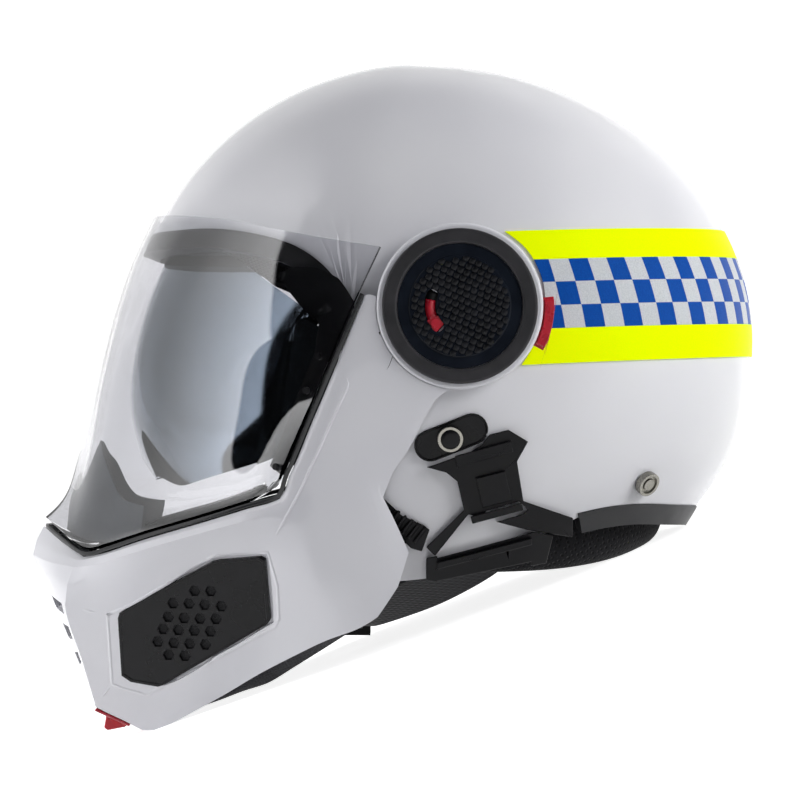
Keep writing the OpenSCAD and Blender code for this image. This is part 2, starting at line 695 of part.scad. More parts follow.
// Steps from the middle of a cell in column j
function from_mid(j) = j < bar_mid ? bar_mid - 1 - j : j - bar_mid;

vent_a = station(3);
vent_b = station(6);
vent_lo = bar_rows[0];
vent_hi = vent_lo + bar_rows[1];

// The moulding's left side; round the vent panel it is made truly flat
bar_side = [for (i = [0 : len(bar_free) - 1]) [for (j = [0 : len(bar_free[0]) - 1])
    let (p = bar_free[i][j])
    i >= vent_lo && i <= vent_hi && j >= vent_a && j <= vent_b ? on_vent(p[1], p[2]) : p]];
bar_grid = both_sides(bar_side);
bar_back = offset_grid(bar_grid, -bar_t);
bar_pocket = [for (r = bar_grid) [for (p = r)
    p - pocket_d * [sign(p[0]) * vent_normal[0], vent_normal[1], vent_normal[2]]]];
bar_mid = len(bar_side[0]) - 1;

// A pocket for each vent panel, holes behind its honeycomb, and the three louvre slots
function bar_kind(i, j) =
    let (c = from_mid(j))
    i >= vent_lo && i < vent_hi && c >= vent_a && c < vent_b
        ? (i > vent_lo && i < vent_hi - 1 && c > vent_a && c < vent_b - 1 ? 2 : 1)
    : i >= vent_lo && i < vent_hi && c >= 1 && c < station(2) - 1 && (i - vent_lo) % 2 == 0 ? 2
    : 0;

// The arms end round the bosses
module boss_cut() from_side(-boss_out - 10, boss_out + 10) circle(r = boss_r + seat, $fn = 96);

module chin_bar() color("#bdbdc5") stand() difference() {
    panel([bar_grid, bar_pocket, bar_back], function(i, j) bar_kind(i, j));
    boss_cut();
}

// Foam and cloth inside the front of the chin bar, with windows behind the vents
lining_cols = station(7);
function slice(grid, a, b) = [for (r = grid) [for (j = [a : b]) r[j]]];

function lining_kind(i, j) =
    let (c = from_mid(j))
    i >= vent_lo - 1 && i < vent_hi + 1 && (c < station(2) || c >= vent_a && c < vent_b) ? 1 : 0;

module chin_bar_lining() {
    rows = [1 : len(bar_grid) - 2];
    first = bar_mid - lining_cols;
    inner = slice(offset_grid(bar_grid, -bar_t - seat), first, bar_mid + lining_cols);
    back = slice(offset_grid(bar_grid, -bar_t - seat - lining_t), first, bar_mid + lining_cols);
    color("#242428") stand() panel([[for (i = rows) inner[i]], [for (i = rows) back[i]]],
        function(i, j) lining_kind(i + 1, j + first));
}

/* Vent panels and louvres */

vent_corners = [[-153, -141.6], [-151, -139.8], [-114, -118], [-108, -116.3], [-94, -115.2],
    [-92.4, -116.5], [-89.2, -141.5], [-90.2, -143.5], [-136.5, -172.2], [-139.5, -172.5],
    [-149, -169], [-152, -166]];

// Corners of the hole behind the panel, in the side view
vent_hole = [for (q = [[vent_hi - 1, vent_a + 1], [vent_hi - 1, vent_b - 1], [vent_lo + 1, vent_b - 1],
    [vent_lo + 1, vent_a + 1]]) [bar_side[q[0]][q[1]][1], bar_side[q[0]][q[1]][2]]];

// Lays a drawing of the side view on the vent's plane; height 0 is the pocket's floor
module on_vent_plane(lo, hi) intersection() {
    from_side(0, 140) children();
    vent_slab(lo, hi);
}

module vent_slab(lo, hi) {
    c = on_vent(-120, -145);
    yaw = atan2(vent_normal[1], vent_normal[0]);
    translate(c) rotate([0, 0, yaw]) rotate([0, acos(vent_normal[2]), 0])
        translate([-80, -80, lo]) cube([160, 160, hi - lo]);
}

hex_rows = [2, 4, 4, 4, 4, 2];
hex_shift = [0.5, 0, 0.5, 0, 0.5, 1];

module hex_holes() {
    row_step = hex_pitch * sqrt(3) / 2;
    for (i = [0 : len(hex_rows) - 1]) for (k = [0 : hex_rows[i] - 1])
        translate([(k - 1.75 + hex_shift[i]) * hex_pitch, (2.5 - i) * row_step])
            circle(r = hex_w / sqrt(3), $fn = 6);
}

module vent_panel() color("#17181a") stand() union() {
    difference() {
        on_vent_plane(-pocket_d + 0.15, -pocket_d + 0.15 + panel_t) polygon(vent_corners);
        on_vent_frame() translate([0, 0, -10]) linear_extrude(20) hex_holes();
    }
}

module on_vent_frame() {
    yaw = atan2(vent_normal[1], vent_normal[0]);
    translate(on_vent(-119, -146)) rotate([0, 0, yaw]) rotate([0, acos(vent_normal[2]), 0])
        rotate(60) children();
}

module vent_panel_left() vent_panel();
module vent_panel_right() right_side() vent_panel();

module vent_filter() color("#3b3c3e") stand()
    on_vent_plane(-pocket_d - 2.6, -pocket_d - 0.4) offset(delta = -1.6) polygon(vent_hole);

module vent_filter_left() vent_filter();
module vent_filter_right() right_side() vent_filter();

module chin_louvres() {
    cols = station(2);
    inner = slice(offset_grid(bar_grid, -bar_t - seat), bar_mid - cols + 1, bar_mid + cols - 1);
    back = slice(offset_grid(bar_grid, -bar_t - 1.8), bar_mid - cols + 1, bar_mid + cols - 1);
    rows = [for (i = [vent_lo : vent_hi]) i];
    color("#1b1c1e") stand() panel([[for (i = rows) inner[i]], [for (i = rows) back[i]]]);
}

/* Clear visor */

visor_net = [
    [[0, -197, -98.3], [24, -185.8, -105.7], [45, -174.6, -111.2], [58, -164.5, -109.2],
     [77, -144.1, -102.4], [95, -117, -94.2], [107, -94.8, -87.1], [113.2, -82.8, -81.7]],
    [[0, -184.6, -83], [24, -178, -87], [43, -167, -91], [57, -156, -92],
     [77, -136.5, -89.5], [95, -112, -83.5], [107.5, -90, -77], [117, -79.6, -71]],
    [[0, -175, -41], [25, -170.5, -42], [45, -161.5, -43.5], [62, -150.5, -44.5],
     [83, -131, -44.5], [101.5, -106, -43], [115.5, -81, -40.5], [123, -64.4, -37]],
    [[0, -166, -6], [26, -162.5, -6.5], [47, -155, -7.5], [65, -145, -8.5],
     [87, -125.5, -10], [107.5, -100, -11], [120.5, -74, -10.5], [127, -52.2, -8]],
    [[0, -156.5, 22], [26, -153.5, 22], [47, -147, 21.5], [68, -136.5, 21],
     [92.5, -116, 19.5], [111, -90, 17.5], [122, -64, 15], [128, -43, 12]],
    [[0, -145.6, 44.7], [26, -143.3, 44.6], [47, -138, 44.2], [71, -125.5, 43],
     [95, -106, 40.5], [110, -86, 36], [121, -61, 31], [128, -36, 26.8]]
];

visor_side = surface_of(fit_net(visor_net), [2, 2, 2, 2, 2], [2, 2, 2, 2, 2, 2, 2]);
visor_grid = both_sides(visor_side);

module visor() color("#dfe6ea", 0.4) stand() panel([visor_grid, offset_grid(visor_grid, -visor_t)]);

// Rubber strip on the seal line, from one pivot round the chin to the other
gasket_line = curve([for (p = seal) fit(p)], 2);
gasket_path = concat([for (k = [len(gasket_line) - 1 : -1 : 1]) flip(gasket_line[k])], gasket_line);

// Rings of a strip that lies along the upper side of a path, between two depths
function strip_rings(path, wide, lo, hi) = [for (k = [0 : len(path) - 1])
    let (a = path[max(k - 1, 0)], b = path[min(k + 1, len(path) - 1)],
        t = unit(b - a), o = unit(out_dir(path[k])), n = unit(o - t * (o * t)), s = cross(n, t))
    [for (q = [[wide, lo], [wide, hi - 0.5], [wide - 0.5, hi], [0.5, hi], [0, hi - 0.5], [0, lo]])
        path[k] + s * (q[0] + 1.6 * seat) + n * q[1]]];

// Direction in which the moulding faces at a point of the seal line
function out_dir(p) = [p[0] * 1.35, (p[1] + 60) * (abs(p[0]) > 112 * drawn_w_k ? 0.1 : 0.9), 0];

module visor_gasket() color("#1a1a1c") stand()
    through(strip_rings(gasket_path, gasket_w, -2.4, 0.6));

// Pins for a fog insert, at rows of the visor and a share of its last column
visor_pin_rows = [2, 4, 5];
pin_share = 0.55;

function visor_pin_place(i) =
    let (last = len(visor_side[0]) - 1)
    mix(visor_side[i][last], visor_side[i][last - 1], pin_share);

module visor_pin(i) {
    last = len(visor_side[0]) - 1;
    n = unit(cross(visor_side[i][last] - visor_side[i][last - 1], visor_side[i + 1][last] - visor_side[i - 1][last]));
    translate(visor_pin_place(i) + n * 0.35) rotate([0, acos(n[2]), atan2(n[1], n[0])]) cylinder(r = 1.6, h = 1.8);
}

module visor_pins() color("#b9bcc2") stand() for (m = [0, 1]) mirror([m, 0, 0])
    for (i = visor_pin_rows) visor_pin(i);

/* Breath deflector */

deflector_net = [
    [[0, -186, -104], [20, -180, -107], [38, -168, -110], [52, -158, -109], [66, -146, -104]],
    [[0, -182, -84], [20, -176, -87], [38, -165, -92], [52, -156, -96], [65, -145.5, -97]],
    [[0, -170, -61], [14, -168, -66], [28, -163.5, -76], [46, -156.5, -88], [64, -145, -91.5]]
];

module deflector() {
    g = both_sides(surface_of(fit_net(deflector_net), [2, 2], [2, 2, 2, 2]));
    panel([g, offset_grid(g, -1.8)]);
}

module breath_deflector() color("#3a3b3e") stand() deflector();

/* Chin curtain */

// The curtain hangs on the inside of the foot and bulges below it at the sides
curtain_cols = station(7);
curtain_reach = 15;
curtain_reach_front = 3;
curtain_sag = 6;
curtain_t = 2.4;

function curtain_row(k) =
    let (n = normals(bar_grid))
    [for (j = [-curtain_cols : curtain_cols])
        let (p = bar_grid[0][bar_mid + j], up = bar_grid[1][bar_mid + j] - p, o = n[0][bar_mid + j],
            side = sin(180 * max(0, abs(j) - vent_a) / (curtain_cols - vent_a)), flat_out = unit([o[0], o[1], 0]),
            reach = mix(curtain_reach_front, curtain_reach, max(0, min(1, (abs(j) - vent_a) / 5))))
        above_table(p - o * (bar_t + seat + 0.2) + up * [0.45, 0.05, 0][k] - flat_out * reach * [0, 0.25, 1][k]
            - [0, 0, curtain_sag * side * [0, 0.55, 1][k]])];

module chin_curtain() {
    g = [curtain_row(2), curtain_row(1), curtain_row(0)];
    color("#1c1c1f") stand() panel([g, offset_grid(g, -curtain_t)]);
}

/* Pivots */

boss_x = shell_half_w + arm_gap;
boss_out = boss_x + boss_t;
axle_seat_x = shell_x(0, 0) + seat + 0.3;
head_t = 0.8;
cover_flange_t = 1;
cavity_r = slot_r + slot_w / 2 + 1;

// Revolves a side-on profile, given as (radius, x), about the pivot axis
module about_pivot() rotate([0, 90, 0]) rotate_extrude($fn = 96) children();

module pivot_axle() color("#8d8f93") stand() about_pivot() polygon([
    [0, axle_seat_x], [12, axle_seat_x], [12, axle_seat_x + 1.2], [axle_r, axle_seat_x + 1.2],
    [axle_r, boss_out + 0.1], [axle_r + 2, boss_out + 0.1], [axle_r + 2, boss_out + 0.1 + head_t],
    [0, boss_out + 0.1 + head_t]]);

module pivot_axle_left() pivot_axle();
module pivot_axle_right() right_side() pivot_axle();

module pivot_boss() color("#c4c4cb") stand() about_pivot() polygon([
    [axle_r + run_gap, boss_x], [boss_r, boss_x], [boss_r, boss_out - 0.8], [boss_r - 0.8, boss_out],
    [axle_r + run_gap, boss_out]]);

module pivot_boss_left() pivot_boss();
module pivot_boss_right() right_side() pivot_boss();

module pivot_ring() color("#2c2b2e") stand() about_pivot() polygon([
    [ring_in, boss_out], [ring_r, boss_out], [ring_r, boss_out + ring_h - 0.7],
    [ring_r - 0.7, boss_out + ring_h], [ring_in + 0.7, boss_out + ring_h], [ring_in, boss_out + ring_h - 0.7]]);

module pivot_ring_left() pivot_ring();
module pivot_ring_right() right_side() pivot_ring();

// Angles of the slot in the side view, from the back towards up; the front is 180
slot_a0 = 159;
slot_a1 = 222;

module arc_slot(r, w, a0, a1) {
    rotate(a0) rotate_sector(r - w / 2, r + w / 2, a1 - a0);
    rotate(a0) translate([r, 0]) circle(r = w / 2);
    rotate(a1) translate([r, 0]) circle(r = w / 2);
}

module rotate_sector(r0, r1, a) {
    steps = 12;
    polygon(concat([for (k = [0 : steps]) r1 * [cos(a * k / steps), sin(a * k / steps)]],
        [for (k = [steps : -1 : 0]) r0 * [cos(a * k / steps), sin(a * k / steps)]]));
}

module pivot_cover() color("#202531") stand() difference() {
    about_pivot() polygon([
        [0, boss_out + disc_h - 0.9], [cavity_r, boss_out + disc_h - 0.9], [cavity_r, boss_out],
        [ring_in - 0.1, boss_out], [ring_in - 0.1, boss_out + cover_flange_t], [disc_r, boss_out + cover_flange_t],
        [disc_r, boss_out + disc_h - 0.3], [disc_r - 0.3, boss_out + disc_h], [0, boss_out + disc_h]]);
    from_side(boss_out - 1, boss_out + disc_h + 1) arc_slot(slot_r, slot_w, slot_a0, slot_a1);
}

module pivot_cover_left() pivot_cover();
module pivot_cover_right() right_side() pivot_cover();

lock_a = slot_a1 - 6;

module lock_pin() color("#c4152a") stand() {
    union() {
        from_side(boss_out + 0.15, boss_out + 0.95) rotate(lock_a - 12)
            rotate_sector(axle_r + 2.3, cavity_r - 0.3, 24);
        from_side(boss_out + 0.5, boss_out + disc_h + 0.4)
            rotate(lock_a) translate([slot_r, 0]) circle(r = lock_pin_r);
    }
}

module lock_pin_left() lock_pin();
module lock_pin_right() right_side() lock_pin();

/* Sun visor and its lever */

lever_x = axle_seat_x + 1.4;
lever_t = 1.8;

module sun_visor_lever() color("#b3142c") stand() difference() {
    union() {
        from_side(lever_x, lever_x + lever_t) {
            circle(r = 12.5);
            rotate(-11) translate([6, -5]) square([boss_r - 2, 10]);
            rotate(-28) rotate_sector(boss_r - 4, boss_r + 5, 34);
        }
        from_side(lever_x, lever_x + lever_t + 2.4) rotate(-26) rotate_sector(boss_r + 0.8, boss_r + 5, 30);
    }
    from_side(lever_x - 1, lever_x + lever_t + 1) circle(r = axle_r + run_gap);
}

sun_low = -15;
sun_high = 25.5;

// A point of the sun visor: up is its angle over the swing axis, and the lower lip turns in
function sun_pt(x, up, inset) =
    let (r = sun_radius(x) - inset - 9 * pow(max((2 - up) / 17, 0), 2) * (1 - pow(abs(x) / sun_edge_w, 2)))
    [x, sun_y - r * cos(up), sun_z + r * sin(up)];

sun_cols = 10;
sun_rows_n = 6;

function sun_grid(inset) = [for (i = [0 : sun_rows_n]) [for (j = [-sun_cols : sun_cols])
    let (x = sun_edge_w * sin(90 * j / sun_cols),
        low = sun_low + 8 * pow(abs(x) / sun_edge_w, 2) + 5 * max(1 - pow(abs(x) / 16, 2), 0),
        up = mix(low, sun_high, i / sun_rows_n))
    sun_pt(x, up, inset)]];

module sun_visor() color("#7f8890", 0.9) stand() union() {
    panel([sun_grid(0), sun_grid(sun_t)]);
    for (m = [0, 1]) mirror([m, 0, 0]) difference() {
        from_side(sun_edge_w - sun_t - 0.4, sun_edge_w + 0.4) sun_ear();
        from_side(sun_edge_w - sun_t - 2, sun_edge_w + 2) translate([sun_y, sun_z]) circle(r = sun_pin_r + run_gap);
    }
}

module sun_ear() hull() {
    translate([sun_y, sun_z]) circle(r = sun_pin_r + 5, $fn = 32);
    translate([sun_y, sun_z]) rotate(180 - 22) translate([sun_radius(sun_edge_w) - 1, 0]) circle(r = 2, $fn = 16);
    translate([sun_y, sun_z]) rotate(180 + 5) translate([sun_radius(sun_edge_w) - 1, 0]) circle(r = 2, $fn = 16);
}

module sun_visor_pins() color("#9a9ca0") stand() for (m = [0, 1]) mirror([m, 0, 0])
    from_side(sun_edge_w - sun_t - 1, shell_x(sun_y, sun_z, shell_t) - layer_gap) translate([sun_y, sun_z])
        circle(r = sun_pin_r);

/* Chin release and latches */

release_slope = -24.4;
release_front = [-171.4, -188.6];
release_len = 18;
release_w = 20;

module release_frame() translate([0, fit_y(release_front[0]), release_front[1]])
    rotate([release_slope, 0, 0]) children();

module chin_release() color("#b5172b") stand() release_frame() union() {
    translate([-release_w, 0, -1.5]) cube([2 * release_w, release_len, 1.5]);
    from_side(-9, 9) polygon([[5, -1.2], [17, -1.2], [16, -3.5], [9, -8.5], [7, -8], [6, -4]]);
}

striker = [-41, -101];
striker_r = 2;
hook_pivot = [-58, -98];
hook_pin_r = 2.5;
hook_x = 112.9 * drawn_w_k;
hook_t = 1.6;

module latch_hook() color("#a9abaf") stand() difference() {
    union() {
        from_side(hook_x, hook_x + hook_t) translate(hook_pivot) circle(r = hook_pin_r + 3);
        from_side(hook_x, hook_x + hook_t) polygon([[-58, -103.2], [-58, -92.7], [-42, -91.8],
            [-36, -94.6], [-35.2, -98.6], [-37.6, -98.6], [-39.5, -96.6], [-44, -97], [-51, -101]]);
    }
    from_side(hook_x - 1, hook_x + hook_t + 1) translate(hook_pivot) circle(r = hook_pin_r + run_gap);
}

module latch_hook_left() latch_hook();
module latch_hook_right() right_side() latch_hook();

module latch_pins() color("#8f9195") stand() for (m = [0, 1]) mirror([m, 0, 0]) {
    from_side(hook_x - 1.3, hook_x + hook_t + 0.9) translate(hook_pivot) circle(r = hook_pin_r);
    from_side(hook_x - 1.6, hook_x - 0.3) translate(hook_pivot) circle(r = hook_pin_r + 1.5);
}

/* Chin strap */

strap_anchor = [36, -76];
anchor_t = 1.6;
// The liner's flat facets stand up to this far inside its true curve at the anchors
anchor_lift = 2.7;
// The strap starts flat on its anchor plate
strap_lift = anchor_lift + anchor_t + seat + strap_t / 2;
strap_n = skin_normal(strap_anchor, liner_in);
strap_start = [skin_x(strap_anchor[0], strap_anchor[1], liner_in), strap_anchor[0], strap_anchor[1]]
    - strap_n * strap_lift;
strap_path = [strap_start, strap_start + [-5, -5, -17], [65, 12, -113], [58, -14, -130], [46, -42, -142.5],
    [34, -53, -148], [20.3, -54, -149]];

// A flat ribbon along a path, whose width turns from one direction to another
module ribbon(path, wide, thick, wide_from, wide_to) {
    p = curve(path, 3);
    last = len(p) - 1;
    rings = [for (k = [0 : last])
        let (t = unit(p[min(k + 1, last)] - p[max(k - 1, 0)]), w = unit(mix(wide_from, wide_to, k / last)),
            s = unit(w - t * (w * t)), n = cross(t, s))
        [for (q = [[-1, -1], [1, -1], [1, 1], [-1, 1]]) p[k] + s * q[0] * wide / 2 + n * q[1] * thick / 2]];
    through(rings);
}

module strap_left() color("#1d1d20") stand() ribbon(strap_path, strap_w, strap_t,
    cross(strap_n, unit(strap_path[1] - strap_path[0])), [0, 1, 0.1]);
module strap_right() right_side() strap_left();

module strap_anchors() color("#6f7175") stand() for (m = [0, 1]) mirror([m, 0, 0])
    at_shell(strap_anchor, liner_in) translate([0, 0, -anchor_lift - anchor_t]) cylinder(r = 7, h = anchor_t);

module buckle_frame() translate([0, -54, -149]) children();

module buckle_body() color("#2c2d30") stand() buckle_frame() difference() {
    union() {
        translate([-10, -13, -5]) cube([30, 26, 9]);
        for (y = [-13, 10.4]) translate([11.5, y, 3]) cube([7, 2.6, 6]);
    }
    translate([-12, -9.5, -1.6]) cube([34, 19, 3.2]);
    translate([-12, -6, 1]) cube([24, 12, 4]);
    translate([pawl_pin[0], 14, pawl_pin[1]]) rotate([90, 0, 0]) cylinder(r = pawl_pin_r + run_gap, h = 28);
}

module buckle_tongue() color("#a3a5a9") stand() buckle_frame() union() {
    translate([-20, -9, -1.2]) cube([36, 18, 1.6]);
    for (k = [0 : 7]) translate([-8 + 2.4 * k, -5, 0.2]) cube([1.2, 10, 0.9]);
}

pawl_pin = [15, 6.3];
pawl_pin_r = 1.5;

module buckle_pawl() color("#b3142c") stand() buckle_frame() difference() {
    union() {
        translate([-16, -10, 4.6]) cube([27, 20, 1.8]);
        translate([10, -10, 4.6]) cube([5, 20, 2.4]);
        translate([pawl_pin[0], 10, pawl_pin[1]]) rotate([90, 0, 0]) cylinder(r = 2.2, h = 20);
    }
    translate([pawl_pin[0], 12, pawl_pin[1]]) rotate([90, 0, 0]) cylinder(r = pawl_pin_r + run_gap, h = 24);
}

module buckle_pin() color("#9a9ca0") stand() buckle_frame()
    translate([pawl_pin[0], 13, pawl_pin[1]]) rotate([90, 0, 0]) cylinder(r = pawl_pin_r, h = 26);

/* The helmet on a table */

// The chin's foot and the neck roll touch the table
roll_pts = flat([for (k = [0 : roll_rings]) roll_ring(k)]);
stand_deg = atan(min([for (p = roll_pts)
    if (p[1] > 20) (p[2] - chin_foot[1]) / (p[1] - fit_y(chin_foot[0]))]));

function turned(p) = [p[0], p[1] * cos(stand_deg) + p[2] * sin(stand_deg),
    p[2] * cos(stand_deg) - p[1] * sin(stand_deg)];

outline_pts = [for (p = concat(flat([for (j = [0 : rim_n]) shell_column(j, 0)]), flat(bar_side),
    flat(visor_side))) turned(p)];
front_y = min([for (p = outline_pts) p[1]]);
back_y = max([for (p = outline_pts) p[1]]);
floor_z = min([for (p = concat(bar_side[0], roll_pts)) turned(p)[2]]);

module stand() translate([0, -(front_y + back_y) / 2, -floor_z]) rotate([-stand_deg, 0, 0]) children();

// Lifts a place that would hang through the table, with room for the cloth's thickness
function above_table(p) = [p[0], p[1],
    max(p[2], (floor_z + curtain_t + seat + p[1] * sin(stand_deg)) / cos(stand_deg))];

// Mirrors a finished left piece; the stand keeps X, so it may be mirrored as it is
module right_side() mirror([1, 0, 0]) children();

outer_shell();
eps_liner();
crown_pad();
cheek_pad_left();
cheek_pad_right();
neck_roll();
brow_trim();
neck_trim();
side_rail_left();
side_rail_right();
latch_receiver_left();
latch_receiver_right();
headset_bracket_left();
headset_bracket_right();
stud_seat_left();
stud_seat_right();
front_studs();
rear_studs();
chequer_band();
hi_vis_stripes();
pivot_axle_left();
pivot_axle_right();
sun_visor_lever();
sun_visor();
sun_visor_pins();
chin_bar();
chin_bar_lining();
pivot_boss_left();
pivot_boss_right();
pivot_ring_left();
pivot_ring_right();
pivot_cover_left();
pivot_cover_right();
lock_pin_left();
lock_pin_right();
vent_panel_left();
vent_panel_right();
vent_filter_left();
vent_filter_right();
chin_louvres();
visor();
visor_gasket();
visor_pins();
breath_deflector();
chin_curtain();
chin_release();
latch_hook_left();
latch_hook_right();
latch_pins();
strap_left();
strap_right();
strap_anchors();
buckle_body();
buckle_tongue();
buckle_pawl();
buckle_pin();
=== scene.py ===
"""Looks for a flip-up police motorcycle helmet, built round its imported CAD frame.

The helmet stands tipped back on its chin and its neck roll. Places that were measured on the
helmet as it is worn are turned into that frame by Stand, and places that were measured in the
view from the side are laid on the helmet by Sight.
"""
from __future__ import annotations

import json
import logging
import math
import random
from dataclasses import dataclass, field
from enum import Enum
from itertools import accumulate
from typing import Callable, Iterable, Sequence

import bmesh
import bpy
from mathutils import Matrix, Vector
from mathutils.bvhtree import BVHTree
from mathutils.geometry import tessellate_polygon


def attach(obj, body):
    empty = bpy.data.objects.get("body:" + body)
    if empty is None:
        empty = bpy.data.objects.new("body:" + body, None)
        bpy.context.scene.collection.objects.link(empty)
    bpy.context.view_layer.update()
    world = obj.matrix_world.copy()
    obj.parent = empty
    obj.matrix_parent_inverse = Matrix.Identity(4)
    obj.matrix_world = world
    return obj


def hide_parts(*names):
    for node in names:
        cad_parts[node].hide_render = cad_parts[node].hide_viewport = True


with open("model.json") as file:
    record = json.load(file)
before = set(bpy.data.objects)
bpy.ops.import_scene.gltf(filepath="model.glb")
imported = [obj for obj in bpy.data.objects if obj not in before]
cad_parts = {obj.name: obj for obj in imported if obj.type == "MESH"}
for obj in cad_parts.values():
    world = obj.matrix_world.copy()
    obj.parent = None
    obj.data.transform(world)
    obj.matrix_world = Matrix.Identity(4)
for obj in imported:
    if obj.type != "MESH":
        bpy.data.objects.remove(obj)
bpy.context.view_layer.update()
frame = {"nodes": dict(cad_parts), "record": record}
MM = 0.001
LOG = logging.getLogger("helmet")

Piece = bpy.types.Object
Socket = bpy.types.NodeSocket
Cage = bmesh.types.BMesh
Pair = tuple[float, float]
Line = Sequence[Pair]

# Most values of a noise lie between these.
NOISE_SPAN: Pair = (0.3, 0.7)
WHOLE_SPAN: Pair = (0.0, 1.0)


class Side(Enum):
    """The wearer's sides, as the sign of X."""

    LEFT = 1
    RIGHT = -1

    @property
    def label(self) -> str:
        """The side's name, as it ends a node's name."""
        return self.name.lower()

    def mirrored(self, spot: Vector) -> Vector:
        """A place on the left, or its mirror image where this is the right side."""
        return Vector((spot.x * self.value, spot.y, spot.z))


class Edges(Enum):
    """How sharp an edge must be, in degrees, to stay an edge when a piece is smoothed."""

    SOFT = 60.0
    MOULDED = 32.0
    CRISP = 24.0


@dataclass(frozen=True)
class Stand:
    """How the worn helmet is turned and moved to stand on the table."""

    angle: float = math.radians(20.7376)
    back: float = 48.7148 * MM
    up: float = 134.724 * MM

    def place(self, x: float, y: float, z: float) -> Vector:
        """Turns a worn place in millimetres into the row frame in metres.

        Args:
            x: distance to the wearer's left.
            y: distance towards the back.
            z: distance up.

        Returns:
            The same place on the standing helmet.
        """
        return self.way(x, y, z) * MM + Vector((0, self.back, self.up))

    def way(self, x: float, y: float, z: float) -> Vector:
        """Turns a worn direction into the row frame, with its length kept."""
        c, s = math.cos(self.angle), math.sin(self.angle)
        return Vector((x, y * c + z * s, z * c - y * s))

    def worn(self, point: Vector) -> Vector:
        """Turns a place of the row frame back into worn millimetres."""
        c, s = math.cos(self.angle), math.sin(self.angle)
        y, z = point.y - self.back, point.z - self.up
        return Vector((point.x, y * c - z * s, y * s + z * c)) / MM


STAND = Stand()


@dataclass(frozen=True)
class Sight:
    """The view from the side, from an eye in worn millimetres.

    A place in this view is where its line of sight meets the helmet's middle plane.
    """

    far: float = 2000.0
    y: float = -26.9
    z: float = -42.2

    def eye(self, side: Side = Side.LEFT) -> Vector:
        """Where the eye is, in the row frame."""
        return STAND.place(side.value * self.far, self.y, self.z)

    def line(self, y: float, z: float, side: Side = Side.LEFT) -> Vector:
        """The line of sight from the eye to a place in the view."""
        return STAND.place(0, y, z) - self.eye(side)

    def meet(self, y: float, z: float, point: Vector, out: Vector) -> Vector:
        """Where a line of sight from the left meets a plane.

        Args:
            y: the place in the view, towards the back.
            z: the same, upwards.
            point: a point of the plane, in the row frame.
            out: the plane's normal.

        Returns:
            The meeting point, in the row frame.
        """
        eye, line = self.eye(), self.line(y, z)
        return eye + line * ((point - eye).dot(out) / line.dot(out))


SIGHT = Sight()
BODY_OF: dict[str, str] = {
    node: body for body, nodes in frame["record"]["behaviour"]["bodies"].items() for node in nodes
}


# ---- Finishes ----


def linear(colour: str) -> tuple[float, float, float, float]:
    """Turns an sRGB hex colour such as "#E6E7EA" into the linear values that a shader takes."""
    parts = [int(colour[i:i + 2], 16) / 255 for i in (1, 3, 5)]
    return (*[p / 12.92 if p <= 0.04045 else ((p + 0.055) / 1.055) ** 2.4 for p in parts], 1.0)


def add_node(tree: bpy.types.NodeTree, kind: str, inputs: dict | None = None,
             **settings) -> bpy.types.Node:
    """Adds one shader node with its settings and links.

    Args:
        tree: the material's or world's node tree.
        kind: the node's type, without its ShaderNode prefix.
        inputs: values, or sockets to link, by socket name or number.
        **settings: the node's own properties.

    Returns:
        The new node.
    """
    node = tree.nodes.new("ShaderNode" + kind)
    for name, value in settings.items():
        setattr(node, name, value)
    for key, value in (inputs or {}).items():
        if isinstance(value, bpy.types.NodeSocket):
            tree.links.new(value, node.inputs[key])
        else:
            node.inputs[key].default_value = value
    return node


